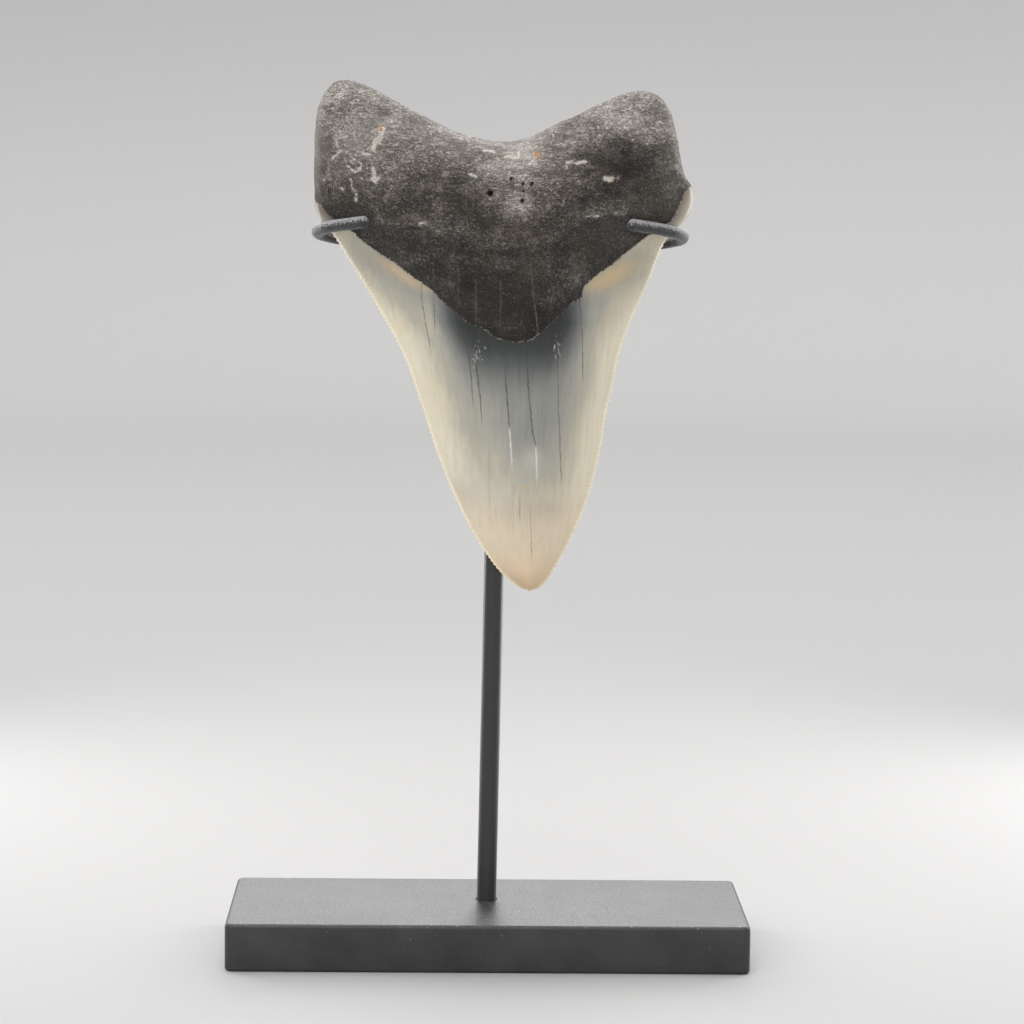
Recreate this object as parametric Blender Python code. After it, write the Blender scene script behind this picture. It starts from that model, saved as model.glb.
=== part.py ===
"""Megalodon tooth on its display stand.

The tooth hangs crown down in a wire cradle, with its curved inner (lingual) face to the front.
The cradle is joined to the top of a thin steel stem, and the stem stands in a flat steel base.
All sizes are in metres. X runs to the right, Y away from the front and Z up, and the origin is
the middle of the base's underside.
"""

import bmesh
import bpy
import numpy as np
from mathutils import Matrix

# Stand, driving dimensions.
BASE_LENGTH = 0.130
BASE_DEPTH = 0.050
BASE_HEIGHT = 0.012
BASE_EDGE_RADIUS = 0.0009
BASE_CORNER_RADIUS = 0.0018
STEM_DIAMETER = 0.005
WIRE_DIAMETER = 0.003
SOCKET_DEPTH = 0.008
GAP = 0.0003

# The stem leans a little to the right. Its foot is just behind the middle of the base.
STEM_FOOT = np.array([-0.0002, 0.0030, BASE_HEIGHT - SOCKET_DEPTH])
STEM_TOP = np.array([0.0017, 0.0030, 0.1728])
STEM_SIDES = 24

# Outline of the tooth as seen from the front, as (x, z) points that smooth curves run through.
LEFT_CORNER = (-0.0421, 0.2156)
RIGHT_CORNER = (0.0425, 0.2127)
TIP = (0.0099, 0.0920)
TOP_EDGE = [
    LEFT_CORNER, (-0.0395, 0.2182), (-0.0367, 0.2189), (-0.0336, 0.2182), (-0.0293, 0.2164),
    (-0.0220, 0.2125), (-0.0146, 0.2086), (-0.0098, 0.2064), (-0.0048, 0.2049), (0.0012, 0.2041),
    (0.0074, 0.2051), (0.0122, 0.2075), (0.0195, 0.2109), (0.0268, 0.2145), (0.0317, 0.2165),
    (0.0353, 0.2170), (0.0390, 0.2162), RIGHT_CORNER,
]
LEFT_EDGE = [
    LEFT_CORNER, (-0.0437, 0.2115), (-0.0443, 0.2065), (-0.0446, 0.2000), (-0.0446, 0.1915),
    (-0.0442, 0.1866), (-0.0430, 0.1838), (-0.0402, 0.1808), (-0.0381, 0.1776),
    (-0.0343, 0.1717), (-0.0290, 0.1629), (-0.0225, 0.1511), (-0.0181, 0.1392),
    (-0.0141, 0.1272), (-0.0092, 0.1153), (-0.0045, 0.1063), (-0.0016, 0.1017),
    (0.0026, 0.0965), (0.0056, 0.0940), (0.0078, 0.0926), TIP,
]
RIGHT_EDGE = [
    RIGHT_CORNER, (0.0437, 0.2092), (0.0448, 0.2050), (0.0457, 0.2000), (0.0468, 0.1964),
    (0.0485, 0.1938), (0.0491, 0.1904), (0.0482, 0.1870), (0.0459, 0.1838), (0.0430, 0.1807),
    (0.0406, 0.1755), (0.0384, 0.1695), (0.0346, 0.1606), (0.0316, 0.1516), (0.0299, 0.1426),
    (0.0286, 0.1367), (0.0278, 0.1306), (0.0260, 0.1216), (0.0233, 0.1126), (0.0194, 0.1035),
    (0.0166, 0.0984), (0.0140, 0.0945), (0.0121, 0.0928), TIP,
]

# Depths of the tooth, as (share of the length from lobes to tip, y) pairs: the plane of its side
# edges, the middle of its curved front face and the middle of its flat back face.
EDGE_PLANE = [(0, -0.0095), (0.10, -0.0082), (0.22, -0.0055), (0.36, -0.0033), (0.60, -0.0028), (1, -0.0030)]
FRONT_MIDDLE = [
    (0, -0.0215), (0.07, -0.0238), (0.14, -0.0243), (0.22, -0.0230), (0.32, -0.0202),
    (0.44, -0.0168), (0.60, -0.0136), (0.76, -0.0110), (0.88, -0.0083), (0.95, -0.0060), (1, -0.0030),
]
BACK_MIDDLE = [
    (0, -0.0042), (0.07, -0.0022), (0.15, -0.0008), (0.25, 0), (0.42, 0.0001),
    (0.60, 0.0001), (0.80, -0.0004), (0.92, -0.0015), (1, -0.0030),
]
# How far a level is root, with thick rounded sides, rather than crown, with thin cutting edges.
ROOT_SHARE = [(0, 1), (0.16, 1), (0.24, 0.72), (0.34, 0.22), (0.42, 0), (1, 0)]
LOBE_THICKNESS = 0.62
PROTUBERANCE_WIDTH = 0.46
TOP_ROUNDING = 0.075
BLADE_THINNING = 1.2

# Swellings and hollows of the front and back faces, as (x, z, reach across, reach up, height).
FRONT_RELIEF = [
    (-0.0340, 0.2040, 0.0070, 0.0060, -0.0007),
    (-0.0180, 0.1985, 0.0100, 0.0050, 0.0006),
    (0.0200, 0.1960, 0.0100, 0.0060, 0.0007),
    (0.0310, 0.2060, 0.0080, 0.0060, 0.0004),
    (0.0010, 0.1870, 0.0140, 0.0035, 0.0005),
    (0.0030, 0.1780, 0.0150, 0.0035, -0.0005),
]
BACK_RELIEF = [
    (0.0020, 0.1850, 0.0140, 0.0090, -0.0009),
    (-0.0260, 0.2030, 0.0090, 0.0070, -0.0005),
    (0.0280, 0.2020, 0.0090, 0.0070, -0.0005),
]

# Mesh density of the tooth. The columns stand closer together near the side edges.
COLUMNS = 36
CROWDING = 0.65
ROWS_IN_TOP_ROUNDING = 6
ROWS_BELOW = 40

# Middle line of the cradle wire. Each hook starts with its rounded front end, goes round a
# shoulder of the tooth and joins the straight arm that slopes down to the top of the stem.
LEFT_HOOK = [
    (-0.0322, -0.0156, 0.1843), (-0.0352, -0.0140, 0.1838), (-0.0385, -0.0119, 0.1833),
    (-0.0418, -0.0093, 0.1826), (-0.0435, -0.0062, 0.1818), (-0.0431, -0.0030, 0.1810),
    (-0.0408, -0.0008, 0.1803),
]
RIGHT_HOOK = [
    (0.0337, -0.0156, 0.1843), (0.0370, -0.0140, 0.1838), (0.0405, -0.0120, 0.1832),
    (0.0442, -0.0094, 0.1824), (0.0464, -0.0062, 0.1815), (0.0461, -0.0030, 0.1806),
    (0.0440, -0.0008, 0.1800),
]
VERTEX = (0.0017, 0.0030, 0.1724)
ARM_POINTS = 5
CRADLE_RINGS = 64
WIRE_SIDES = 12
DOME_TURNS = np.radians([30, 60])

PLACES_PER_POINT = 30
SHARP_ANGLE = np.radians(40)


def principled(name, colour, roughness, metallic=0.0):
    """A material with the piece's own plain colour, roughness and metallic value."""
    material = bpy.data.materials.new(name)
    material.use_nodes = True
    shader = material.node_tree.nodes["Principled BSDF"]
    shader.inputs["Base Color"].default_value = (*colour, 1.0)
    shader.inputs["Roughness"].default_value = roughness
    shader.inputs["Metallic"].default_value = metallic
    return material


def add_object(name, vertices, faces, material):
    """A smooth-shaded object of these vertices and faces, with its normals pointing out."""
    mesh = bpy.data.meshes.new(name)
    mesh.from_pydata([tuple(v) for v in vertices], [], faces)
    shell = bmesh.new()
    shell.from_mesh(mesh)
    bmesh.ops.recalc_face_normals(shell, faces=shell.faces)
    shell.to_mesh(mesh)
    shell.free()
    mesh.materials.append(material)
    mesh.shade_smooth()
    mesh.set_sharp_from_angle(angle=SHARP_ANGLE)
    obj = bpy.data.objects.new(name, mesh)
    bpy.context.collection.objects.link(obj)
    return obj


def smooth_between(knots, values, at):
    """Values at these places, on smooth cubics through one value at each knot."""
    slopes = np.gradient(values, knots, axis=0)
    span = np.clip(np.searchsorted(knots, at, side="right") - 1, 0, len(knots) - 2)
    width = np.diff(knots)[span].reshape(-1, *[1] * (values.ndim - 1))
    f = (at - knots[span]).reshape(width.shape) / width
    return (
        (2 * f**3 - 3 * f**2 + 1) * values[span]
        + (f**3 - 2 * f**2 + f) * width * slopes[span]
        + (3 * f**2 - 2 * f**3) * values[span + 1]
        + (f**3 - f**2) * width * slopes[span + 1]
    )


def lengths_along(points):
    """Length of the line through the points, up to each of them."""
    return np.append(0, np.cumsum(np.linalg.norm(np.diff(points, axis=0), axis=1)))


def curve_through(points, shares):
    """Places on a smooth curve through the points, at these shares of its length."""
    points = np.array(points, dtype=float)
    knots = lengths_along(points)
    places = smooth_between(knots, points, np.linspace(0, knots[-1], PLACES_PER_POINT * len(points)))
    lengths = lengths_along(places)
    wanted = np.asarray(shares) * lengths[-1]
    return np.stack([np.interp(wanted, lengths, part) for part in places.T], axis=1)


def value_along(keys, shares):
    """A smooth value at each share, through (share, value) keys."""
    at, value = np.array(keys, dtype=float).T
    return smooth_between(at, value, shares)


def relief(forms, x, z):
    """Height of the swellings, less the depth of the hollows, at x and z."""
    return sum(
        height * np.exp(-(((x - middle) / across) ** 2) - ((z - level) / up) ** 2)
        for middle, level, across, up, height in forms
    )


def tooth_faces_at(across, down):
    """(x, z, y of the front, y of the back) of the tooth, on a grid of shares across and down it."""
    left = curve_through(LEFT_EDGE, down)[:, None, :]
    right = curve_through(RIGHT_EDGE, down)[:, None, :]
    top = curve_through(TOP_EDGE, across)[None, :, :]
    s = across[None, :, None]
    t = down[:, None, None]
    straight_top = (1 - s) * np.array(LEFT_CORNER) + s * np.array(RIGHT_CORNER)
    outline = (1 - s) * left + s * right + (1 - t) * (top - straight_top)

    u = np.abs(2 * across - 1)[None, :]
    root = np.clip(value_along(ROOT_SHARE, down), 0, 1)[:, None]
    blade = (1 - u**2) ** BLADE_THINNING
    swell = LOBE_THICKNESS + (1 - LOBE_THICKNESS) * np.exp(-((u / PROTUBERANCE_WIDTH) ** 2))
    rounded = np.sqrt(np.clip(1 - u**4, 0, 1))
    from_top = np.clip(down / TOP_ROUNDING, 0, 1)[:, None]
    closing = np.sqrt(1 - (1 - from_top) ** 2)
    edge = value_along(EDGE_PLANE, down)[:, None]
    reach_front = (edge - value_along(FRONT_MIDDLE, down)[:, None]) * closing
    reach_back = (value_along(BACK_MIDDLE, down)[:, None] - edge) * closing
    front_form = (1 - root) * blade + root * rounded * swell
    back_form = (1 - root) * (1 - u**2) + root * rounded

    x, z = outline[..., 0], outline[..., 1]
    inside = rounded * closing
    front = edge - reach_front * front_form - inside * relief(FRONT_RELIEF, x, z)
    back = edge + reach_back * back_form + inside * relief(BACK_RELIEF, x, z)
    return x, z, front, back


def tooth_grid():
    """Shares across the tooth from left to right, and down it from the lobes to the tip."""
    angle = np.linspace(0, np.pi, COLUMNS + 1)
    across = CROWDING * (1 - np.cos(angle)) / 2 + (1 - CROWDING) * angle / np.pi
    turn = np.linspace(0, np.pi / 2, ROWS_IN_TOP_ROUNDING + 1)
    below = np.linspace(TOP_ROUNDING, 1, ROWS_BELOW + 1)
    return across, np.append(TOP_ROUNDING * (1 - np.cos(turn)), below[1:])


def add_tooth():
    """One closed solid: two curved grids that share the outline, and meet in a point at the tip."""
    across, down = tooth_grid()
    x, z, front, back = tooth_faces_at(across, down)
    rows, columns = x.shape
    vertices = []
    front_index = np.zeros((rows, columns), dtype=int)
    back_index = np.zeros((rows, columns), dtype=int)
    for i in range(rows - 1):
        for j in range(columns):
            front_index[i, j] = back_index[i, j] = len(vertices)
            vertices.append((x[i, j], front[i, j], z[i, j]))
            if i > 0 and 0 < j < columns - 1:
                back_index[i, j] = len(vertices)
                vertices.append((x[i, j], back[i, j], z[i, j]))
    front_index[-1, :] = back_index[-1, :] = len(vertices)
    vertices.append((TIP[0], front[-1, 0], TIP[1]))

    faces = []
    for index, order in ((front_index, 1), (back_index, -1)):
        for i in range(rows - 1):
            for j in range(columns - 1):
                ring = [index[i, j], index[i + 1, j], index[i + 1, j + 1], index[i, j + 1]][::order]
                faces.append(list(dict.fromkeys(int(k) for k in ring)))
    return add_object("tooth", vertices, faces, fossil)


def add_base():
    """A rectangular block on the ground, with its four corners and then its edges rounded off."""
    mesh = bpy.data.meshes.new("base")
    block = bmesh.new()
    size = Matrix.Diagonal((BASE_LENGTH, BASE_DEPTH, BASE_HEIGHT, 1))
    bmesh.ops.create_cube(block, size=1, matrix=Matrix.Translation((0, 0, BASE_HEIGHT / 2)) @ size)
    upright = [edge for edge in block.edges if abs(edge.verts[0].co.z - edge.verts[1].co.z) > 0.001]
    bmesh.ops.bevel(
        block, geom=upright, offset=BASE_CORNER_RADIUS, segments=4, profile=0.5, affect="EDGES",
    )
    rims = [edge for edge in block.edges if abs(edge.verts[0].co.z - edge.verts[1].co.z) < 0.001]
    bmesh.ops.bevel(
        block, geom=rims, offset=BASE_EDGE_RADIUS, segments=3, profile=0.5, affect="EDGES",
    )
    block.to_mesh(mesh)
    block.free()
    mesh.materials.append(steel_grey)
    base = bpy.data.objects.new("base", mesh)
    bpy.context.collection.objects.link(base)
    return base


def add_rod(name, points, diameter, material, sides, domed):
    """A round rod along the points, with domed or flat ends."""
    points = np.array(points, dtype=float)
    along = np.gradient(points, axis=0)
    along /= np.linalg.norm(along, axis=1)[:, None]
    side = np.array([0, -1.0, 0]) if abs(along[0][2]) > 0.5 else np.array([0, 0, 1.0])
    rings = []
    for middle, direction in zip(points, along):
        side = side - direction * np.dot(side, direction)
        side /= np.linalg.norm(side)
        rings.append((middle, direction, side, diameter / 2))
    if domed:
        rings = dome(rings[0], -1)[::-1] + rings + dome(rings[-1], 1)

    vertices, faces = [], []
    for middle, direction, side, radius in rings:
        other = np.cross(direction, side)
        for turn in np.arange(sides) * 2 * np.pi / sides:
            vertices.append(middle + radius * (np.cos(turn) * side + np.sin(turn) * other))
    for first in range(0, len(vertices) - sides, sides):
        for k in range(sides):
            following = (k + 1) % sides
            faces.append([first + k, first + following, first + sides + following, first + sides + k])
    faces.append(list(range(sides)))
    faces.append(list(range(len(vertices) - sides, len(vertices))))
    return add_object(name, vertices, faces, material)


def dome(ring, outwards):
    """The rings that round off a rod past this end ring."""
    middle, direction, side, radius = ring
    return [
        (middle + outwards * direction * radius * np.sin(turn), direction, side, radius * np.cos(turn))
        for turn in DOME_TURNS
    ]


def add_cutter(name, points, diameter, sides):
    """A rod that only cuts a hole in another piece, and isn't a piece itself."""
    cutter = add_rod(name, points, diameter, steel_black, sides, domed=False)
    cutter.hide_render = True
    cutter.display_type = "WIRE"
    return cutter


def cut(obj, name, cutter):
    """Cuts the cutter's shape out of the object."""
    difference = obj.modifiers.new(name, "BOOLEAN")
    difference.operation = "DIFFERENCE"
    difference.object = cutter


for obj in list(bpy.data.objects):
    bpy.data.objects.remove(obj, do_unlink=True)

fossil = principled("fossil_root_and_enamel", (0.33, 0.31, 0.28), 0.5)
steel_black = principled("satin_black_steel", (0.045, 0.045, 0.047), 0.5, 0.2)
steel_grey = principled("powder_coated_steel", (0.09, 0.09, 0.095), 0.6, 0.1)

# The tooth is one fossil, with a thick two-lobed root above a flat-backed, blade-edged crown.
tooth = add_tooth()

# The cradle is one bent wire.
left_arm = np.linspace(LEFT_HOOK[-1], VERTEX, ARM_POINTS + 1)[1:]
right_arm = np.linspace(VERTEX, RIGHT_HOOK[-1], ARM_POINTS + 1)[1:-1]
wire = curve_through([*LEFT_HOOK, *left_arm, *right_arm, *RIGHT_HOOK[::-1]], np.linspace(0, 1, CRADLE_RINGS))
cradle = add_rod("cradle", wire, WIRE_DIAMETER, steel_black, WIRE_SIDES, domed=True)

# The stem is a straight rod. The wire lies in a saddle cut across its top.
stem = add_rod("stem", [STEM_FOOT, STEM_TOP], STEM_DIAMETER, steel_black, STEM_SIDES, domed=False)
cut(stem, "saddle", add_cutter("saddle_cutter", wire, WIRE_DIAMETER + 2 * GAP, WIRE_SIDES))

# The base is a block with softened edges. The stem stands in a blind hole in its top.
base = add_base()
hole_foot = STEM_FOOT - np.array([0, 0, GAP])
hole_top = STEM_FOOT + (STEM_TOP - STEM_FOOT) * 2 * SOCKET_DEPTH / STEM_TOP[2]
cut(base, "socket", add_cutter("socket_cutter", [hole_foot, hole_top], STEM_DIAMETER + 2 * GAP, STEM_SIDES))
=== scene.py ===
"""Megalodon tooth on its display stand: the finished surfaces, built round the frame.

All sizes here are in millimetres, and become the frame's metres as each mesh is made. X runs to
the right, Y away from the front and Z up, and the origin is the middle of the base's underside.
"""

import itertools

import bmesh
import bpy
import numpy as np
from mathutils import Matrix, Vector


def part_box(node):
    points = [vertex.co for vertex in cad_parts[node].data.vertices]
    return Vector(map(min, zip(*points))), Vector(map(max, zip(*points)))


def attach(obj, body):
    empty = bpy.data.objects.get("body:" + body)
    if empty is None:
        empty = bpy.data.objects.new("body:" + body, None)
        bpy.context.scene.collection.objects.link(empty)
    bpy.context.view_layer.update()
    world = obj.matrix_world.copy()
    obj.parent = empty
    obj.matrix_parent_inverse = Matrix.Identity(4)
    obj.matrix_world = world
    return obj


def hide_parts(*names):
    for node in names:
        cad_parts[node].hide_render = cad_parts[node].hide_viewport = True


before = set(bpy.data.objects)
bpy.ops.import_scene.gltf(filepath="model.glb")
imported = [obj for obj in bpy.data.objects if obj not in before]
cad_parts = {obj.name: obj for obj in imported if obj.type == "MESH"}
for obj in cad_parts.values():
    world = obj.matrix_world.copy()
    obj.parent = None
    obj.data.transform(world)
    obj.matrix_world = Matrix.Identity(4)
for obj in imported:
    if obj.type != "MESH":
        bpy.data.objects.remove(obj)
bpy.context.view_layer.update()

# ------------------------------------------------------------------------------------------ base
# The base is a block of mild steel, sawn from flat bar and milled square, with its edges eased.
# A blind hole drilled in its top takes the stem. It is sprayed with charcoal powder and baked.
MM = 0.001
BASE_CORNER_RADIUS = 1.8
BASE_EDGE_RADIUS = 0.9
BASE_EDGE_STEPS = 6
UPRIGHT_EDGE_RISE = 1.0
STEM_DIAMETER = 5.0
STEM_FOOT = np.array([-0.2, 3.0, 4.0])
STEM_TOP = np.array([1.7, 3.0, 172.8])
SOCKET_GAP = 0.3
SOCKET_SIDES = 64
SMOOTH_ANGLE = np.radians(35)

# Powder coats: how much coarser the grit is than the grain, the size of the slow changes of tone and
# how much of them shows, how much more often pale grit lies on up-facing skin, where it is partly
# painted glints, the noise levels at which grit starts and is whole, and those of the pale dust on
# top, which is partly a painted highlight.
GRIT_COARSER = 1.25
FLOW_SIZE = 12.5
FLOW_SHARE = 0.06
GLINTING_GRIT_ON_TOP = 0.08
GRIT_AND_GLINT_LEVELS = (0.72, 0.78)
GRIT_HEIGHT = 1.5
DUST_AND_HIGHLIGHT_BY_GRAIN = 3.0
DUST_AND_HIGHLIGHT_LEVELS = (1.65, 2.15)
DUST_AND_HIGHLIGHT_COLOUR = "#d4d3d6"
DUST_SHEEN_ROUGHNESS = 0.35


def linear(colour):
    """An sRGB hex colour as linear red, green, blue and alpha."""
    parts = np.array([int(colour[k:k + 2], 16) for k in (1, 3, 5)]) / 255
    parts = np.where(parts <= 0.04045, parts / 12.92, ((parts + 0.055) / 1.055) ** 2.4)
    return (*parts.tolist(), 1.0)


def add_node(tree, kind, inputs, stops=(), **settings):
    """Adds a node. An input that is another node's output is linked, and any other is set."""
    node = tree.nodes.new(kind)
    for name, value in settings.items():
        setattr(node, name, value)
    for name, value in inputs.items():
        if isinstance(value, bpy.types.NodeSocket):
            tree.links.new(value, node.inputs[name])
        else:
            node.inputs[name].default_value = value
    for place, colour in stops[1:-1]:
        node.color_ramp.elements.new(place)
    for element, (place, colour) in zip(node.color_ramp.elements if stops else (), stops):
        element.position = place
        element.color = linear(colour)
    return node


def new_material(name):
    """A material, its node tree, its shader, and the place on the surface in millimetres."""
    material = bpy.data.materials.new(name)
    material.use_nodes = True
    tree = material.node_tree
    place = add_node(tree, "ShaderNodeTexCoord", {}).outputs["Object"]
    in_mm = {0: place, 1: (1 / MM, 1 / MM, 1 / MM)}
    scaled = add_node(tree, "ShaderNodeVectorMath", in_mm, operation="MULTIPLY")
    return material, tree, tree.nodes["Principled BSDF"], scaled.outputs[0]


def powder_coat(name, colour, pale_grit_and_glint, roughness, grain, relief, dust_and_highlight=0.0, mirror=0.5, sheen=0.0):
    """Baked powder: a dull grainy skin, pale grit with painted glints on top, and dust with a painted
    highlight.
    """
    material, tree, shader, place = new_material(name)
    peel = add_node(tree, "ShaderNodeTexNoise", {"Vector": place, "Scale": 1 / grain, "Detail": 2.0})
    coarse = {"Vector": place, "Scale": 1 / (GRIT_COARSER * grain), "Detail": 2.0}
    grit = add_node(tree, "ShaderNodeTexNoise", coarse)
    normal = add_node(tree, "ShaderNodeNewGeometry", {}).outputs["Normal"]
    upwards = add_node(tree, "ShaderNodeSeparateXYZ", {0: normal}).outputs["Z"]
    # Pale grit is painted more often where the skin faces up: grit, and painted glints on the top.
    grit_and_glint_level = {0: upwards, 1: GLINTING_GRIT_ON_TOP, 2: grit.outputs["Fac"]}
    grit_and_glint_level = add_node(tree, "ShaderNodeMath", grit_and_glint_level, operation="MULTIPLY_ADD").outputs[0]
    grit_and_glint_range = {"Value": grit_and_glint_level, "From Min": GRIT_AND_GLINT_LEVELS[0], "From Max": GRIT_AND_GLINT_LEVELS[1]}
    grit_and_glint_share = add_node(tree, "ShaderNodeMapRange", grit_and_glint_range).outputs["Result"]
    slow = {"Vector": place, "Scale": 1 / FLOW_SIZE, "Detail": 3.0}
    flow = add_node(tree, "ShaderNodeTexNoise", slow)
    tone = add_node(
        tree, "ShaderNodeValToRGB", {"Fac": flow.outputs["Fac"]},
        stops=[(0.3, colour), (0.7, pale_grit_and_glint)],
    )
    even = {0: FLOW_SHARE, 6: linear(colour), 7: tone.outputs["Color"]}
    skin = add_node(tree, "ShaderNodeMix", even, data_type="RGBA")
    speckled = {0: grit_and_glint_share, 6: skin.outputs[2], 7: linear(pale_grit_and_glint)}
    paint = add_node(tree, "ShaderNodeMix", speckled, data_type="RGBA")
    # Pale dust is painted where the skin faces up: dust, and a painted highlight along the top.
    caught = {0: peel.outputs["Fac"], 1: DUST_AND_HIGHLIGHT_BY_GRAIN, 2: upwards}
    dust_and_highlight_level = add_node(tree, "ShaderNodeMath", caught, operation="MULTIPLY_ADD").outputs[0]
    ends = {"Value": dust_and_highlight_level, "From Min": DUST_AND_HIGHLIGHT_LEVELS[0], "From Max": DUST_AND_HIGHLIGHT_LEVELS[1], "To Max": dust_and_highlight}
    dust_and_highlight_share = add_node(tree, "ShaderNodeMapRange", ends).outputs["Result"]
    dust_and_highlight_mix = {0: dust_and_highlight_share, 6: paint.outputs[2], 7: linear(DUST_AND_HIGHLIGHT_COLOUR)}
    paint = add_node(tree, "ShaderNodeMix", dust_and_highlight_mix, data_type="RGBA")
    raised = {0: grit_and_glint_share, 1: GRIT_HEIGHT, 2: peel.outputs["Fac"]}
    height = add_node(tree, "ShaderNodeMath", raised, operation="MULTIPLY_ADD")
    bump = add_node(tree, "ShaderNodeBump", {"Height": height.outputs[0], "Distance": relief * MM})
    tree.links.new(paint.outputs[2], shader.inputs["Base Color"])
    tree.links.new(bump.outputs["Normal"], shader.inputs["Normal"])
    shader.inputs["Roughness"].default_value = roughness
    shader.inputs["Specular IOR Level"].default_value = mirror
    shader.inputs["Sheen Weight"].default_value = sheen
    shader.inputs["Sheen Roughness"].default_value = DUST_SHEEN_ROUGHNESS
    return material


def add_piece(name, vertices, faces, material, node, slot, smooth_angle=SMOOTH_ANGLE):
    """A smooth piece of these faces, with vertices in millimetres, that stands for a frame node."""
    mesh = bpy.data.meshes.new(name)
    mesh.from_pydata((np.asarray(vertices) * MM).tolist(), [], faces)
    shell = bmesh.new()
    shell.from_mesh(mesh)
    bmesh.ops.recalc_face_normals(shell, faces=shell.faces)
    shell.to_mesh(mesh)
    shell.free()
    mesh.materials.append(material)
    mesh.shade_smooth()
    mesh.set_sharp_from_angle(angle=smooth_angle)
    piece = bpy.data.objects.new(name, mesh)
    bpy.context.collection.objects.link(piece)
    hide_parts(node)
    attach(piece, "root")
    return piece


def vertices_and_faces(shell):
    """Vertices and faces of a finished shell. The faces are sorted, so that each run is the same."""
    shell.verts.index_update()
    vertices = [tuple(v.co) for v in shell.verts]
    faces = sorted([v.index for v in face.verts] for face in shell.faces)
    shell.free()
    return vertices, faces


def base_block():
    """The block with rounded edges and its socket, as vertices in millimetres and faces."""
    low, high = (np.array(corner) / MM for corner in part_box("base"))
    shell = bmesh.new()
    size = Matrix.Diagonal((*(high - low), 1))
    bmesh.ops.create_cube(shell, size=1, matrix=Matrix.Translation((low + high) / 2) @ size)
    for radius, is_upright in ((BASE_CORNER_RADIUS, True), (BASE_EDGE_RADIUS, False)):
        rises = {edge: abs(edge.verts[0].co.z - edge.verts[1].co.z) for edge in shell.edges}
        chosen = [edge for edge in shell.edges if (rises[edge] > UPRIGHT_EDGE_RISE) == is_upright]
        bmesh.ops.bevel(
            shell, geom=chosen, offset=radius, segments=BASE_EDGE_STEPS, profile=0.5, affect="EDGES",
        )
    lid = max(shell.faces, key=lambda face: face.calc_center_median().z)
    up = (STEM_TOP - STEM_FOOT) / (STEM_TOP - STEM_FOOT)[2]
    mouth = STEM_FOOT + up * (high[2] - STEM_FOOT[2])
    radius = STEM_DIAMETER / 2 + SOCKET_GAP
    turns = np.arange(SOCKET_SIDES) * 2 * np.pi / SOCKET_SIDES
    circle = radius * np.stack([np.cos(turns), np.sin(turns), 0 * turns], axis=1)
    rims = []
    for middle in (mouth, STEM_FOOT - up * SOCKET_GAP):
        rims.append([shell.verts.new(middle + place) for place in circle])
    outline = list(lid.verts)
    shell.faces.remove(lid)

    # The new lid is four faces, each from a quarter of the block's outline to one of the mouth.
    quarter = SOCKET_SIDES // 4
    spread = len(outline) // 4
    first = max(range(len(outline)), key=lambda k: outline[k].co.x + outline[k].co.y)
    outline = outline[first:] + outline[:first]
    mouth_line = rims[0][quarter // 2:] + rims[0][:quarter // 2]
    for k in range(4):
        inner = [mouth_line[(k * quarter + n) % SOCKET_SIDES] for n in range(quarter + 1)]
        outer = [outline[(k * spread + n) % len(outline)] for n in range(spread + 1)]
        shell.faces.new([*outer, *inner[::-1]])

    # The socket's wall and its floor.
    for k in range(SOCKET_SIDES):
        following = (k + 1) % SOCKET_SIDES
        shell.faces.new([rims[0][k], rims[0][following], rims[1][following], rims[1][k]])
    shell.faces.new(rims[1])
    return vertices_and_faces(shell)


# Charcoal powder coat: nearly black, but it shines pale where light grazes it.
# Its pale grit is painted more often on its top, as painted glints.
charcoal_powder = powder_coat(
    "charcoal_powder_coat", "#29292a", "#9a9a9c", 0.41, 0.5, 0.09, mirror=0.44,
)
add_piece("base_block", *base_block(), charcoal_powder, "base", "coated_block")

# ---------------------------------------------------------------------------------------- cradle
# The cradle is one length of 3 mm steel wire. Its ends are rounded and bent into two hooks that
# hold the tooth by its shoulders, and its middle is brazed to the stem. It is sprayed black.
WIRE_DIAMETER = 3.0
WIRE_SIDES = 28
WIRE_RINGS = 420
LEFT_HOOK = [
    (-32.2, -15.6, 184.3), (-35.2, -14.0, 183.8), (-38.5, -11.9, 183.3), (-41.8, -9.3, 182.6),
    (-43.5, -6.2, 181.8), (-43.1, -3.0, 181.0), (-40.8, -0.8, 180.3),
]
RIGHT_HOOK = [
    (33.7, -15.6, 184.3), (37.0, -14.0, 183.8), (40.5, -12.0, 183.2), (44.2, -9.4, 182.4),
    (46.4, -6.2, 181.5), (46.1, -3.0, 180.6), (44.0, -0.8, 180.0),
]
VERTEX = (1.7, 3.0, 172.4)
ARM_POINTS = 5
PLACES_PER_POINT = 30
COAT_GRAIN = 0.8
COAT_RELIEF = 0.035
DOME_TURNS = np.radians([12, 24, 36, 48, 60, 72, 83])


def smooth_between(knots, values, at):
    """Values at these places, on smooth cubics through one value at each knot."""
    slopes = np.gradient(values, knots, axis=0)
    span = np.clip(np.searchsorted(knots, at, side="right") - 1, 0, len(knots) - 2)
    width = np.diff(knots)[span].reshape(-1, *[1] * (values.ndim - 1))
    f = (at - knots[span]).reshape(width.shape) / width
    return (
        (2 * f**3 - 3 * f**2 + 1) * values[span]
        + (f**3 - 2 * f**2 + f) * width * slopes[span]
        + (3 * f**2 - 2 * f**3) * values[span + 1]
        + (f**3 - f**2) * width * slopes[span + 1]
    )


def lengths_along(points):
    """Length of the line through the points, up to each of them."""
    return np.append(0, np.cumsum(np.linalg.norm(np.diff(points, axis=0), axis=1)))


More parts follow.
